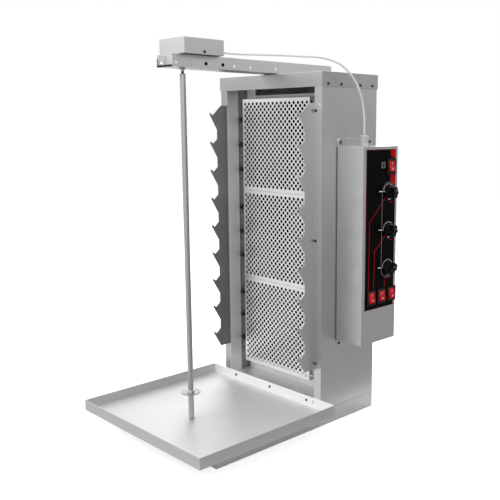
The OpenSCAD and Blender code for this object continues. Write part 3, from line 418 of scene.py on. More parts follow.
def fibre_board(name, colour, fleck):
    """Pressed mineral fibre: matt, dark, with short pale fibres in it."""
    material, tree, shader = finish_of(name)
    place = add(tree, "ShaderNodeTexCoord").outputs["Object"]
    fibre_mm = 1.5
    grain = add(tree, "ShaderNodeTexNoise", {"Scale": 1 / (fibre_mm * MM), "Detail": 6, "Roughness": 0.7},
                {"Vector": place})
    tint = add(tree, "ShaderNodeMix", {"data_type": "RGBA", 6: linear(colour), 7: linear(fleck)},
               {0: grain.outputs["Fac"]})
    bump = add(tree, "ShaderNodeBump", {"Strength": 0.5, "Distance": 0.3 * MM},
               {"Height": grain.outputs["Fac"]})
    fit(tree, shader, {"IOR": 1.5, "Specular IOR Level": 0.1, "Roughness": 0.95},
        {"Base Color": tint.outputs[2], "Normal": bump.outputs["Normal"]})
    return material


dress(fibre_board("pressed fibre board, black", "030303", "0A0A09"), 0, "radiant_board")
dress(fibre_board("mineral felt", "C9BFA6", "E4DCC8"), 0, "insulation_blanket")


# Heating rods. Nickel alloy tubes packed with powder, blued and browned by the heat, in
# ceramic beads where they pass the walls of the box.
def heat_tinted_tube(name):
    """Nickel alloy after many hours at red heat: dark oxide with brown and blue bands."""
    material, tree, shader = finish_of(name)
    place = add(tree, "ShaderNodeTexCoord").outputs["Object"]
    band_mm = 35
    bands = add(tree, "ShaderNodeTexNoise", {"Scale": 1 / (band_mm * MM), "Detail": 3}, {"Vector": place})
    ramp = add(tree, "ShaderNodeValToRGB", None, {0: bands.outputs["Fac"]})
    ramp.color_ramp.elements[0].color = linear("0E0C0A")
    ramp.color_ramp.elements[1].color = linear("2A2422")
    middle = ramp.color_ramp.elements.new(0.55)
    middle.color = linear("16191D")
    fit(tree, shader, {"Metallic": 0.8, "Roughness": 0.6}, {"Base Color": ramp.outputs[0]})
    return material


def fired_clay(name, colour, shade, roughness):
    """Steatite or other fired clay: even, slightly speckled, dry to the touch."""
    material, tree, shader = finish_of(name)
    place = add(tree, "ShaderNodeTexCoord").outputs["Object"]
    speckle_mm = 1.2
    speckle = add(tree, "ShaderNodeTexNoise", {"Scale": 1 / (speckle_mm * MM), "Detail": 4},
                  {"Vector": place})
    tint = add(tree, "ShaderNodeMix", {"data_type": "RGBA", 6: linear(colour), 7: linear(shade)},
               {0: speckle.outputs["Fac"]})
    gloss = add(tree, "ShaderNodeMapRange", {"To Min": roughness - 0.1, "To Max": roughness + 0.1},
                {"Value": speckle.outputs["Fac"]})
    fit(tree, shader, {"IOR": 1.6}, {"Base Color": tint.outputs[2], "Roughness": gloss.outputs["Result"]})
    return material


dress(heat_tinted_tube("heat-tinted nickel alloy"), 0,
      "heater_rods_top", "heater_rods_middle", "heater_rods_bottom")
dress(fired_clay("fired steatite", "E6DFCE", "D5CCB6", 0.6), 0, "regulators", "terminal_block")
dress(fired_clay("smoked steatite", "3E3B36", "2E2B27", 0.7), 0, "rod_insulators")

# Screens. Three sheets of 1 mm bright stainless, perforated with staggered 8.8 mm holes
# and folded back at both sides. They are hardly brushed, so that they stay bright.
screen_steel = brushed_stainless("perforated stainless", "F2F2F2", "x", 0.36, 0.02)
dress(screen_steel, 0, "screen_top", "screen_middle", "screen_bottom")

# Racks. Laser-cut 2 mm stainless with nine saw teeth each, folded once and screwed to
# the jambs. The brush ran along them before they were cut.
dress(brushed_stainless("brushed stainless rack", "D0D0D0", "z", 0.4), 0.3 * MM, "rack_right")
# Painted shade: the left rack is a darker copy of the right rack's steel.
dress(brushed_stainless("brushed stainless rack, painted shade", "949494", "z", 0.4), 0.3 * MM, "rack_left")


# Screws. Pan-head steel screws with a cross recess hold all the sheets together. Each
# head is cold-formed, then plated, so it is rounder and duller than the sheet.
def plated_steel(name, colour, wear, roughness):
    """Small turned or formed steel: an even coat, rubbed a little brighter here and there."""
    material, tree, shader = finish_of(name)
    place = add(tree, "ShaderNodeTexCoord").outputs["Object"]
    rub_mm = 3
    rub = add(tree, "ShaderNodeTexNoise", {"Scale": 1 / (rub_mm * MM), "Detail": 3}, {"Vector": place})
    tint = add(tree, "ShaderNodeMix", {"data_type": "RGBA", 6: linear(colour), 7: linear(wear)},
               {0: rub.outputs["Fac"]})
    gloss = add(tree, "ShaderNodeMapRange", {"To Min": roughness - 0.08, "To Max": roughness + 0.12},
                {"Value": rub.outputs["Fac"]})
    fit(tree, shader, {"Metallic": 1},
        {"Base Color": tint.outputs[2], "Roughness": gloss.outputs["Result"]})
    return material


def lathe(profile, sides=24):
    """A turned body about Z, from its profile as radius and height, closed at the axis."""
    body = bmesh.new()
    rings = []
    for radius, height in profile:
        if radius < 1e-7:
            rings.append([body.verts.new((0, 0, height))])
        else:
            turns = [2 * math.pi * k / sides for k in range(sides)]
            rings.append([body.verts.new((radius * math.cos(a), radius * math.sin(a), height))
                          for a in turns])
    for low, high in zip(rings, rings[1:]):
        for k in range(sides):
            corners = [low[k % len(low)], low[(k + 1) % sides % len(low)],
                       high[(k + 1) % sides % len(high)], high[k % len(high)]]
            corners = [c for i, c in enumerate(corners) if c not in corners[:i]]
            if len(corners) > 2:
                body.faces.new(corners)
    bmesh.ops.recalc_face_normals(body, faces=body.faces)
    return body


def slab(body, floor, roof):
    """Adds to a mesh the closed bar between two outlines with as many corners."""
    low = [body.verts.new(p) for p in floor]
    high = [body.verts.new(p) for p in roof]
    body.faces.new(list(reversed(low)))
    body.faces.new(high)
    for i in range(len(low)):
        j = (i + 1) % len(low)
        body.faces.new((low[i], low[j], high[j], high[i]))


def prism(outline, low, high):
    """A straight bar about Z with the given outline, from one height to the other."""
    body = bmesh.new()
    slab(body, [(x, y, low) for x, y in outline], [(x, y, high) for x, y in outline])
    bmesh.ops.recalc_face_normals(body, faces=body.faces)
    return body


def cut_out(body, tool):
    """What is left of one mesh after another is cut from it."""
    made = []
    for part in (body, tool):
        mesh = bpy.data.meshes.new("blank")
        part.to_mesh(mesh)
        part.free()
        blank = bpy.data.objects.new("blank", mesh)
        bpy.context.scene.collection.objects.link(blank)
        made.append(blank)
    cut = made[0].modifiers.new("cut", "BOOLEAN")
    cut.object = made[1]
    cut.solver = "EXACT"
    bpy.context.view_layer.update()
    result = bmesh.new()
    result.from_mesh(made[0].evaluated_get(bpy.context.evaluated_depsgraph_get()).to_mesh())
    for blank in made:
        bpy.data.objects.remove(blank)
    return result


def solids_of(name):
    """Each separate solid of a CAD node, as the list of its corners."""
    mesh = bmesh.new()
    mesh.from_mesh(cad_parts[name].data)
    bmesh.ops.remove_doubles(mesh, verts=mesh.verts, dist=0.002 * MM)
    found = []
    taken = set()
    for first in mesh.verts:
        heap = [] if first in taken else [first]
        group = []
        taken.add(first)
        while heap:
            corner = heap.pop()
            group.append(corner.co.copy())
            for other in [edge.other_vert(corner) for edge in corner.link_edges]:
                if other not in taken:
                    taken.add(other)
                    heap.append(other)
        if group:
            found.append(group)
    mesh.free()
    return found


def seat_of(corners, head_height):
    """Where a screw's head sits and which way it faces: its widest ring lies near one end."""
    low = Vector([min(c[i] for c in corners) for i in range(3)])
    high = Vector([max(c[i] for c in corners) for i in range(3)])
    middle = (low + high) / 2
    axis = max(range(3), key=lambda i: high[i] - low[i])
    along = Vector([1 if i == axis else 0 for i in range(3)])
    reach = [(c - middle).cross(along).length for c in corners]
    ring = [c for c, r in zip(corners, reach) if r > max(reach) * 0.98]
    level = sum(c[axis] for c in ring) / len(ring)
    way = along if level > middle[axis] else -along
    seat = middle.copy()
    seat[axis] = (high if way[axis] > 0 else low)[axis] - way[axis] * head_height
    return seat, way


def piece(name, body, material, rides, smooth=35):
    """A finished mesh as a piece of the grill, riding on its body."""
    mesh = bpy.data.meshes.new(name)
    body.to_mesh(mesh)
    body.free()
    mesh.materials.append(material)
    for face in mesh.polygons:
        face.use_smooth = True
    mesh.set_sharp_from_angle(angle=math.radians(smooth))
    made = bpy.data.objects.new(name, mesh)
    bpy.context.scene.collection.objects.link(made)
    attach(made, rides)
    return made


def repeat(pattern, places):
    """One mesh that holds a pattern at each place, its Z turned to the way there."""
    source = bpy.data.meshes.new("pattern")
    pattern.to_mesh(source)
    pattern.free()
    joined = bmesh.new()
    for seat, way in places:
        copy = bmesh.new()
        copy.from_mesh(source)
        copy.transform(Matrix.Translation(seat) @ way.to_track_quat("Z", "Y").to_matrix().to_4x4())
        turned = bpy.data.meshes.new("turned")
        copy.to_mesh(turned)
        copy.free()
        joined.from_mesh(turned)
        bpy.data.meshes.remove(turned)
    bpy.data.meshes.remove(source)
    return joined


def headed(head_r, head_h, shank_r, shank_l, point, dome):
    """A screw's blank about Z. Its point and its head's dome are shares of those sizes."""
    point_r, point_l = point
    return lathe([(0, -shank_l), (shank_r * point_r, -shank_l), (shank_r, -shank_l * point_l), (shank_r, 0)]
                 + [(head_r * r, head_h * h) for r, h in dome] + [(0, head_h)])


def set_screws(name, node, head, head_h, material):
    """One head at each screw of a CAD node, in that node's place."""
    places = [seat_of(corners, head_h) for corners in solids_of(node)]
    made = piece(name, repeat(head, places), material, "frame")
    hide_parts(node)


screw_head_h = 2 * MM
screw_dome_shares = [(0.96, 0), (1, 0.12), (0.98, 0.5), (0.88, 0.78), (0.66, 0.95), (0.3, 1)]
pan_head = headed(head_r=3.6 * MM, head_h=screw_head_h, shank_r=2 * MM, shank_l=8 * MM,
                  point=(0.7, 0.93), dome=screw_dome_shares)
tip, half = 1.9 * MM, 0.5 * MM
cross_outline = [(tip, -half), (tip, half), (half, half), (half, tip), (-half, tip), (-half, half),
                 (-tip, half), (-tip, -half), (-half, -half), (-half, -tip), (half, -tip), (half, -half)]
pan_head = cut_out(pan_head, prism(cross_outline, screw_head_h * 0.25, screw_head_h * 2))
set_screws("pan_head_screws", "panel_screws", pan_head, screw_head_h,
           plated_steel("dull plated steel", "3A3A39", "565654", 0.5))

# Overhead arm. A channel of 2 mm stainless, open at the top, on a doubler plate on the
# cap. Two rows of holes let the motor be set nearer or farther. Black button-head bolts
# with a hexagon socket hold it and the motor's bracket. Its underside is a darker zone of
# the same steel: painted shade.
arm_low, arm_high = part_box("arm_channel")
skin = 1 * MM
# Painted shade: the channel's underside is a darker zone.
painted_shade_underside = ("8E8E8E", 1, (arm_low.x, arm_low.y - skin, arm_low.z - skin),
                    (arm_high.x, arm_high.y + skin, arm_low.z + skin))
channel_steel = brushed_stainless("brushed stainless channel, painted shade below", "E2E2E2", "y", 0.36,
                                  patches=(painted_shade_underside,))
dress(channel_steel, sheet_fold, "arm_channel", "arm_flanges", "arm_doubler")
# Painted shade: the motor's bracket is dark grey, so that its underside under the hood shows dark.
dress(plated_steel("dark grey bracket plate, painted shade", "3C3C3C", "484848", 0.4), 0.4 * MM, "motor_bracket")
bolt_head_h = 1.8 * MM
bolt_dome_shares = [(1, 0), (1, 0.2), (0.9, 0.62), (0.7, 0.9), (0.5, 1)]
button_head = headed(head_r=4.4 * MM, head_h=bolt_head_h, shank_r=3 * MM, shank_l=14 * MM,
                     point=(0.8, 0.95), dome=bolt_dome_shares)
socket_r = 2.1 * MM
socket_outline = [(socket_r * math.cos(math.radians(60 * k)), socket_r * math.sin(math.radians(60 * k)))
                  for k in range(6)]
button_head = cut_out(button_head, prism(socket_outline, -bolt_head_h, bolt_head_h * 2))
set_screws("button_head_bolts", "arm_bolts", button_head, bolt_head_h,
           plated_steel("black oxide steel", "0B0B0C", "19191B", 0.4))
dress(plated_steel("black oxide pin", "0B0B0C", "19191B", 0.35), 0, "coupling_pin")

# Motor cover. A five-sided hood of 1.2 mm stainless with a tongue that closes the
# channel's front. Its corners are welded and ground flush.
dress(brushed_stainless("brushed stainless hood", "D6D6D6", "x", 0.4, 0.015), sheet_fold, "motor_cover")


# Gear unit. A die-cast case with a lid, a bronze bush and a bronze gear, driven by a
# steel pinion on the shaft of a black enamelled motor.
def cast_aluminium(name, colour):
    """Die-cast and shot-blasted: pale grey with a fine sandy surface."""
    material, tree, shader = finish_of(name)
    place = add(tree, "ShaderNodeTexCoord").outputs["Object"]
    # Coarser than the real grit of a few tenths, to show at all
    grit_mm = 0.7
    grit = add(tree, "ShaderNodeTexNoise", {"Scale": 1 / (grit_mm * MM), "Detail": 4}, {"Vector": place})
    gloss = add(tree, "ShaderNodeMapRange", {"To Min": 0.42, "To Max": 0.62},
                {"Value": grit.outputs["Fac"]})
    bump = add(tree, "ShaderNodeBump", {"Strength": 0.3, "Distance": 0.1 * MM},
               {"Height": grit.outputs["Fac"]})
    fit(tree, shader, {"Metallic": 1, "Base Color": linear(colour)},
        {"Roughness": gloss.outputs["Result"], "Normal": bump.outputs["Normal"]})
    return material


def enamel(name, colour, shade, roughness):
    """Baked enamel: smooth, glossy, with a faint orange peel."""
    material, tree, shader = finish_of(name)
    place = add(tree, "ShaderNodeTexCoord").outputs["Object"]
    peel_mm = 2
    peel = add(tree, "ShaderNodeTexNoise", {"Scale": 1 / (peel_mm * MM), "Detail": 1}, {"Vector": place})
    tint = add(tree, "ShaderNodeMix", {"data_type": "RGBA", 6: linear(colour), 7: linear(shade)},
               {0: peel.outputs["Fac"]})
    bump = add(tree, "ShaderNodeBump", {"Strength": 0.1, "Distance": 0.05 * MM},
               {"Height": peel.outputs["Fac"]})
    fit(tree, shader, {"IOR": 1.5, "Roughness": roughness},
        {"Base Color": tint.outputs[2], "Normal": bump.outputs["Normal"]})
    return material


dress(cast_aluminium("die-cast aluminium", "A9AAAC"), 0.3 * MM, "gear_case", "gear_lid")
dress(plated_steel("machined bronze", "A07C44", "B8935A", 0.35), 0, "shaft_bush", "drive_gear")
dress(enamel("black baked enamel", "161617", "1E1E20", 0.3), 0.4 * MM, "motor_can")


# Spit. A 14 mm ground stainless bar that hangs from the motor's output shaft by a dark
# pin and turns on the pivot below. The disc and its collar were turned on a lathe.
def ground_bar(name, colour, roughness):
    """Centreless-ground bar: very fine rings round it, bright, with a few dull stretches."""
    material, tree, shader = finish_of(name)
    place = add(tree, "ShaderNodeTexCoord").outputs["Object"]
    # The wheel's rings are far finer: these are as coarse as it takes for them to show
    ring_mm, dull_mm, drift_mm = 2.4, 70, 125
    rings = add(tree, "ShaderNodeMapping",
                {"Scale": [1 / (drift_mm * MM), 1 / (drift_mm * MM), 1 / (ring_mm * MM)]}, {"Vector": place})
    turned = add(tree, "ShaderNodeTexNoise", {"Scale": 1, "Detail": 2}, {"Vector": rings.outputs[0]})
    dull = add(tree, "ShaderNodeTexNoise", {"Scale": 1 / (dull_mm * MM), "Detail": 3}, {"Vector": place})
    base = linear(colour)
    tint = add(tree, "ShaderNodeMix",
               {"data_type": "RGBA", 6: [c * 0.985 for c in base[:3]] + [1], 7: base},
               {0: turned.outputs["Fac"]})
    gloss = add(tree, "ShaderNodeMapRange", {"To Min": roughness - 0.06, "To Max": roughness + 0.1},
                {"Value": dull.outputs["Fac"]})
    fit(tree, shader, {"Metallic": 1},
        {"Base Color": tint.outputs[2], "Roughness": gloss.outputs["Result"]})
    return material


dress(ground_bar("ground stainless bar", "B8B8B8", 0.34), 0, "spit_bar", "output_shaft", "motor_pinion",
      "regulator_shaft_top", "regulator_shaft_middle", "regulator_shaft_bottom")


def turned_disc(name, colour, collar_highlight_colour, centre, collar_r):
    """Faced on a lathe: fine rings about the disc's own axis, and a near white collar, a painted highlight.
    """
    material, tree, shader = finish_of(name)
    place = add(tree, "ShaderNodeTexCoord").outputs["Object"]
    from_axis = add(tree, "ShaderNodeVectorMath", {"operation": "SUBTRACT", 1: (centre[0], centre[1], 0)},
                    {0: place})
    flat = add(tree, "ShaderNodeVectorMath", {"operation": "MULTIPLY", 1: (1, 1, 0)},
               {0: from_axis.outputs[0]})
    reach = add(tree, "ShaderNodeVectorMath", {"operation": "LENGTH"}, {0: flat.outputs[0]})
    # A fine cut leaves rings of a few tenths, drawn coarser here so that they show
    ring_mm = 1.4
    count = add(tree, "ShaderNodeMath", {"operation": "MULTIPLY", 1: 1 / (ring_mm * MM)},
                {0: reach.outputs["Value"]})
    rings = add(tree, "ShaderNodeTexNoise", {"noise_dimensions": "1D", "Scale": 1, "Detail": 2},
                {"W": count.outputs[0]})
    base = linear(colour)
    tint = add(tree, "ShaderNodeMix", {"data_type": "RGBA", 6: [c * 0.9 for c in base[:3]] + [1], 7: base},
               {0: rings.outputs["Fac"]})
    on_collar = add(tree, "ShaderNodeMath", {"operation": "LESS_THAN", 1: collar_r},
                    {0: reach.outputs["Value"]})
    both = add(tree, "ShaderNodeMix", {"data_type": "RGBA", 7: linear(collar_highlight_colour)},
               {0: on_collar.outputs[0], 6: tint.outputs[2]})
    gloss = add(tree, "ShaderNodeMapRange", {"To Min": 0.22, "To Max": 0.36},
                {"Value": rings.outputs["Fac"]})
    fit(tree, shader, {"Metallic": 1},
        {"Base Color": both.outputs[2], "Roughness": gloss.outputs["Result"]})
    return material


spit_low, spit_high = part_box("spit_bar")
spit_axis = (spit_low + spit_high) / 2
collar_r = (spit_high.x - spit_low.x) / 2 + 2.3 * MM
# Painted shade and highlight: the disc's dark grey tones down the lamp's reflection, and its collar's near
# white is a painted highlight.
dress(turned_disc("lathe-turned stainless disc", "767676", "E0E0E0", spit_axis, collar_r),
      0.3 * MM, "meat_disc")
dress(plated_steel("hardened grub screw", "4A4A49", "66665F", 0.4), 0, "disc_screw")

# Control box. A folded stainless box, brushed upright, on a thicker back plate with
# rounded lugs above and below that are screwed to the tower's side.
dress(brushed_stainless("brushed stainless control box", "D2D2D2", "z", 0.3), sheet_fold,
      "control_shell", "control_plate")


# Label. A black polyester film, printed from behind and glued on, with a red border,
# red bands round the main switch, a scale round each dial and a line from each dial to
# its switch. The prints are inks of a few hundredths of a millimetre.
def polyester_film(name, colour, shade):
    """Printed film: nearly even, slightly glossy, with a fine leather-like grain."""
    material, tree, shader = finish_of(name)
    place = add(tree, "ShaderNodeTexCoord").outputs["Object"]
    grain_mm = 0.8
    grain = add(tree, "ShaderNodeTexNoise", {"Scale": 1 / (grain_mm * MM), "Detail": 2}, {"Vector": place})
    tint = add(tree, "ShaderNodeMix", {"data_type": "RGBA", 6: linear(colour), 7: linear(shade)},
               {0: grain.outputs["Fac"]})
    bump = add(tree, "ShaderNodeBump", {"Strength": 0.1, "Distance": 0.02 * MM},
               {"Height": grain.outputs["Fac"]})
    fit(tree, shader, {"IOR": 1.45, "Specular IOR Level": 0.06, "Roughness": 0.4},
        {"Base Color": tint.outputs[2], "Normal": bump.outputs["Normal"]})
    return material


dress(polyester_film("black polyester film", "000000", "030303"), 0, "control_label")
label_low, label_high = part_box("control_label")
ink_low = label_high.x
ink_high = ink_low + 0.08 * MM


def print_on(body, outline, high=ink_high):
    """A thin printed patch on the label, through points given as (y, z)."""
    slab(body, [(ink_low, y, z) for y, z in outline], [(high, y, z) for y, z in outline])


def print_line(body, points, width):
    """A printed line of one width through points given as (y, z), with mitred bends."""
    flat = [Vector(p) for p in points]
    left, right = [], []
    for i, p in enumerate(flat):
        before = (p - flat[i - 1]).normalized() if i else (flat[1] - p).normalized()
        after = (flat[i + 1] - p).normalized() if i < len(flat) - 1 else before
        along = (before + after).normalized()
        side = Vector((-along.y, along.x))
        reach = width / 2 / max(0.3, side.dot(Vector((-before.y, before.x))))
        left.append(p + side * reach)
        right.append(p - side * reach)
    for i in range(len(flat) - 1):
        print_on(body, [left[i], left[i + 1], right[i + 1], right[i]])


def on_dial(centre, radius, turn):
    """The point at a radius and a turn from +Y about a dial's centre."""
    angle = math.radians(turn)
    return (centre[0] + radius * math.cos(angle), centre[1] + radius * math.sin(angle))


def off_dial(centre, steps_mm):
    """Points at steps of so many millimetres in Y and Z from a dial's centre."""
    return [(centre[0] + y * MM, centre[1] + z * MM) for y, z in steps_mm]


dial_centres = []
for shaft in ("regulator_shaft_top", "regulator_shaft_middle", "regulator_shaft_bottom"):
    shaft_low, shaft_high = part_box(shaft)
    dial_centres.append(((shaft_low.y + shaft_high.y) / 2, (shaft_low.z + shaft_high.z) / 2))
top_dial, middle_dial, bottom_dial = dial_centres

y_low, y_high, z_low, z_high = label_low.y, label_high.y, label_low.z, label_high.z
border_mm = 1.7
border_w = border_mm * MM
border_ink = bmesh.new()
for y_from, y_to, z_from, z_to in ((y_low, y_high, z_high - border_w, z_high),
                                   (y_low, y_high, z_low, z_low + border_w),
                                   (y_low, y_low + border_w, z_low + border_w, z_high - border_w),
                                   (y_high - border_w / 2, y_high, z_low + border_w, z_high - border_w)):
    print_on(border_ink, [(y_from, z_from), (y_to, z_from), (y_to, z_to), (y_from, z_to)])

# The bands are given in mm from the label's upper back corner, the bends of the dials'
# lines in metres, and all other prints in mm from a dial's centre.
red_ink = bmesh.new()
band_edge = border_mm / 2
for band_mm in ([(23, border_mm), (band_edge, border_mm), (band_edge, 24), (19, 20)],
                [(21, 66), (band_edge, 66), (band_edge, 96), (21, 82)]):
    print_on(red_ink, [(y_high - y * MM, z_high - z * MM) for y, z in band_mm])
line_w, bar_w = 1.7 * MM, 2 * MM
low_switch_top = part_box("rocker_left")[1].z + 8 * MM
line_bends = [(0.0840, 0.5504), (0.1054, 0.4717)]
line_slant = 0.8 * MM
for centre, (bend_y, bend_z) in zip(dial_centres, line_bends):
    run = off_dial(centre, [(-10, -11)]) + [(bend_y, bend_z), (bend_y - line_slant, low_switch_top)]
    print_line(red_ink, run, line_w)
last_line_y = 0.149
last_line = [(last_line_y, bottom_dial[1] - 29 * MM), (last_line_y - line_slant, low_switch_top)]
print_line(red_ink, last_line, line_w)
for centre in dial_centres:
    print_line(red_ink, off_dial(centre, [(4, -26.5), (17, -25.6)]), bar_w)

white_ink = bmesh.new()


def print_dashes(centre, turns, inner, outer, width):
    """White dashes that point to a dial's centre, at turns from +Y."""
    for turn in turns:
        print_line(white_ink, [on_dial(centre, inner, turn), on_dial(centre, outer, turn)], width)


scale_turns = [172 - 16.5 * k for k in range(9)]
for centre in dial_centres:
    print_dashes(centre, scale_turns, inner=20.2 * MM, outer=23 * MM, width=2.4 * MM)
print_dashes(bottom_dial, [-100, -75, -50], inner=20 * MM, outer=23.4 * MM, width=1.9 * MM)
tick_start, tick_w, short_bar_w = (-39.5, 3.6), 2.1 * MM, 2.4 * MM
for centre, tick_end in zip(dial_centres, (-15.8, -26, -26)):
    print_line(white_ink, off_dial(centre, [tick_start, (tick_end, 2.4)]), tick_w)
for centre in (top_dial, middle_dial):
    print_line(white_ink, off_dial(centre, [(-2.8, -19.4), (11.5, -17)]), short_bar_w)

grey_ink = bmesh.new()
ring_r, ring_w, upright_w = 26.5 * MM, 0.9 * MM, 1.2 * MM
arc_steps = 30
for centre, first, last in ((top_dial, 176, 20), (bottom_dial, 180, 300)):
    arc = [on_dial(centre, ring_r, first + (last - first) * k / arc_steps) for k in range(arc_steps + 1)]
    print_line(grey_ink, arc, ring_w)
print_line(grey_ink, [(centre[0] - ring_r, centre[1]) for centre in (top_dial, bottom_dial)], upright_w)

for name, body, inks in (("label_border_print", border_ink, ("640608", "560507")),
                         ("label_red_print", red_ink, ("B0000A", "9A0008")),
                         ("label_white_print", white_ink, ("E6E4E0", "D4D2CE")),
                         ("label_grey_print", grey_ink, ("8E8E8E", "808080"))):
    bmesh.ops.recalc_face_normals(body, faces=body.faces)
    ink = polyester_film("screen ink, " + name.split("_")[1], *inks)
    made = piece(name, body, ink, "frame")


# Switches. Snap-in rockers in black nylon frames. The rockers are glossy red, moulded,
# with a pale I at the top and a 0 at the bottom.
def moulded(name, colour, shade, roughness, grain_mm=0.6, strength=0.2, sheen=0.5):
    """Plastic or rubber with the fine, even grain of its mould or die."""
    material, tree, shader = finish_of(name)
    place = add(tree, "ShaderNodeTexCoord").outputs["Object"]
    grain = add(tree, "ShaderNodeTexNoise", {"Scale": 1 / (grain_mm * MM), "Detail": 3}, {"Vector": place})
    tint = add(tree, "ShaderNodeMix", {"data_type": "RGBA", 6: linear(colour), 7: linear(shade)},
               {0: grain.outputs["Fac"]})
    gloss = add(tree, "ShaderNodeMapRange", {"To Min": roughness - 0.06, "To Max": roughness + 0.06},
                {"Value": grain.outputs["Fac"]})
    bump = add(tree, "ShaderNodeBump", {"Strength": strength, "Distance": 0.05 * MM},
               {"Height": grain.outputs["Fac"]})
    fit(tree, shader, {"IOR": 1.53, "Specular IOR Level": sheen},
        {"Base Color": tint.outputs[2], "Roughness": gloss.outputs["Result"],
         "Normal": bump.outputs["Normal"]})
    return material


black_nylon = moulded("black moulded nylon", "0B0E10", "07090A", 0.42, sheen=0.25)
dress(black_nylon, 0.8 * MM, "switch_frames")
red_rocker = moulded("glossy red moulded rocker", "BC0810", "AA060D", 0.3, 1.5, 0.05, sheen=0.25)
mark_ink = moulded("pale pad-printed mark", "E8C8C6", "DDBAB8", 0.4)
rocker_tilt = math.radians(10)
box_sheet = 1.2 * MM
mark_up, mark_depth = 7.15 * MM, 1.65 * MM
stroke, tall, wide = 1.1 * MM, 5.2 * MM, 3.6 * MM
one_z, zero_z = 4.2 * MM, -7 * MM
zero_sides = 20


def oval(across, up):
    """Points of the 0's oval, as (y, z) from the rocker's middle."""
    turns = [2 * math.pi * k / zero_sides for k in range(zero_sides)]
    return [(across * math.cos(a), zero_z + up * math.sin(a)) for a in turns]


zero_out, zero_in = oval(wide / 2, tall / 2), oval(wide / 2 - stroke, tall / 2 - stroke)
side, one_top = stroke / 2, one_z + tall
marks = [[(-side, one_z), (side, one_z), (side, one_top), (-side, one_top)]]
for k in range(zero_sides):
    after = (k + 1) % zero_sides
    marks.append([zero_out[k], zero_out[after], zero_in[after], zero_in[k]])
for name in ("rocker_main", "rocker_left", "rocker_middle", "rocker_right"):
    dress(red_rocker, 0.6 * MM, name)
    low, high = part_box(name)
    pivot = Vector((label_low.x - box_sheet, (low.y + high.y) / 2, (low.z + high.z) / 2))
    mark = bmesh.new()
    for patch in marks:
        slab(mark, [(mark_up - mark_depth, y, z) for y, z in patch], [(mark_up, y, z) for y, z in patch])
    mark.transform(Matrix.Translation(pivot) @ Matrix.Rotation(-rocker_tilt, 4, "Y"))
    bmesh.ops.recalc_face_normals(mark, faces=mark.faces)
    piece(name + "_marks", mark, mark_ink, name)


# Lamp. A dark red moulded lens in a grey moulded bezel, pressed in through the label.
# It isn't lit.
def face_corners(low, high, inset=0):
    """The corners of a box's right face as (y, z), drawn in by an inset."""
    return [(low.y + inset, low.z + inset), (high.y - inset, low.z + inset),
            (high.y - inset, high.z - inset), (low.y + inset, high.z - inset)]


dress(moulded("dark red lens", "4A0408", "380306", 0.15, 2, 0.02), 0.3 * MM, "indicator_lamp")
lamp_low, lamp_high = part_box("indicator_lamp")
bezel_w, bezel_up = 1.5 * MM, 0.6 * MM
bezel = bmesh.new()
outer, inner = face_corners(lamp_low, lamp_high), face_corners(lamp_low, lamp_high, bezel_w)
for i in range(4):
    j = (i + 1) % 4
    print_on(bezel, [outer[i], outer[j], inner[j], inner[i]], lamp_high.x + bezel_up)
bmesh.ops.recalc_face_normals(bezel, faces=bezel.faces)
bezel_piece = piece("lamp_bezel", bezel, moulded("grey moulded bezel", "828282", "747474", 0.4), "frame")

# Knobs. Moulded phenolic: a skirt, a wing to grip and a dome, satin black, pressed on
# the regulators' shafts.
phenolic = moulded("satin black phenolic", "060606", "0A0A0A", 0.38, sheen=0.3)
for name in ("knob_top", "knob_middle", "knob_bottom"):
    dress(phenolic, 0.6 * MM, name)


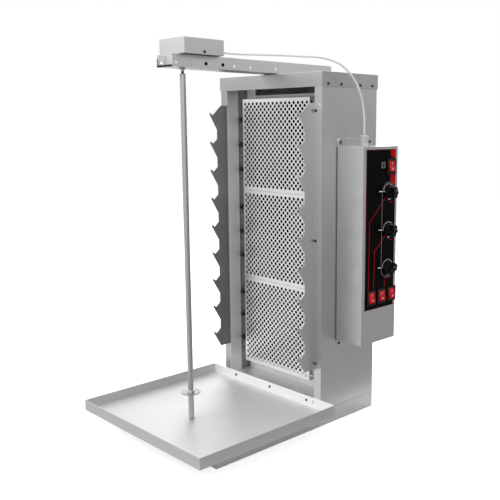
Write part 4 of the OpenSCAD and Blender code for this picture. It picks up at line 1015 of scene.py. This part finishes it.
# Glands. Moulded nylon: a ribbed body with a rounded clamping nut. The one on the
# control box is light grey, those of the motor and of the mains lead are black.
def gland(profile_mm, ribs, rib_low, rib_high, nut_r):
    """A turned gland with grip ribs round its nut."""
    body = lathe([(r * MM, z * MM) for r, z in profile_mm], 48)
    rib_r, end_r, end_h = 0.9 * MM, 0.7 * MM, 0.6 * MM
    for k in range(ribs):
        angle = 2 * math.pi * k / ribs
        rib = lathe([(0, rib_low), (end_r, rib_low), (rib_r, rib_low + end_h), (rib_r, rib_high - end_h),
                     (end_r, rib_high), (0, rib_high)], 8)
        rib.transform(Matrix.Translation((nut_r * math.cos(angle), nut_r * math.sin(angle), 0)))
        mesh = bpy.data.meshes.new("rib")
        rib.to_mesh(mesh)
        rib.free()
        body.from_mesh(mesh)
        bpy.data.meshes.remove(mesh)
    return body


grey_low, grey_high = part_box("cable_gland")
grey_seat = Vector(((grey_low.x + grey_high.x) / 2, (grey_low.y + grey_high.y) / 2, grey_low.z))
# Radius and height: the bore, the threaded tail, the flange, the nut and its rounded lip
grey_profile_mm = [(2, 0), (8, 0), (8, 8), (10.2, 8), (10.5, 8.6), (10.5, 12), (9.6, 13), (9.6, 30),
                   (11, 31), (11.5, 31.8), (11.5, 34.4), (10.6, 35.5), (9, 36), (2, 36), (2, 0)]
grey_gland = gland(grey_profile_mm, ribs=14, rib_low=14 * MM, rib_high=29.5 * MM, nut_r=9.6 * MM)
grey_gland.transform(Matrix.Translation(grey_seat))
grey_nylon = moulded("light grey moulded nylon", "C9C9C7", "BCBCBA", 0.42)
grey_piece = piece("ribbed_cable_gland", grey_gland, grey_nylon, "frame")
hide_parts("cable_gland")
dress(black_nylon, 0.5 * MM, "motor_gland", "mains_gland")

# Edge strip. A thin black strip on the front edge of the channel, along its floor and partly
# up its left flange: painted shade for the dark gap under the hood's tongue.
strip_wall, strip_h, strip_t = 1.8 * MM, 4.4 * MM, 0.9 * MM
strip_x, strip_low, strip_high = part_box("arm_flanges")[1].x, arm_low.z + 0.2 * MM, arm_low.z + 20 * MM
strip_outline = [(-strip_x, strip_low), (strip_x, strip_low), (strip_x, strip_low + strip_h),
                 (strip_wall - strip_x, strip_low + strip_h), (strip_wall - strip_x, strip_high),
                 (-strip_x, strip_high)]
shade_strip = prism(strip_outline, -arm_low.y, -arm_low.y + strip_t)
shade_strip.transform(Matrix.Rotation(math.radians(90), 4, "X"))
# Painted shade: the strip's black.
rubber = moulded("black strip, painted shade", "0A0A0A", "121212", 0.6, sheen=0.2)
shade_strip_piece = piece("channel_edge_shade_strip", shade_strip, rubber, "frame")

for name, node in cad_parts.items():
    if not node.hide_render and not node.data.materials[0].use_nodes:
        raise SystemExit(name + " has no finish")
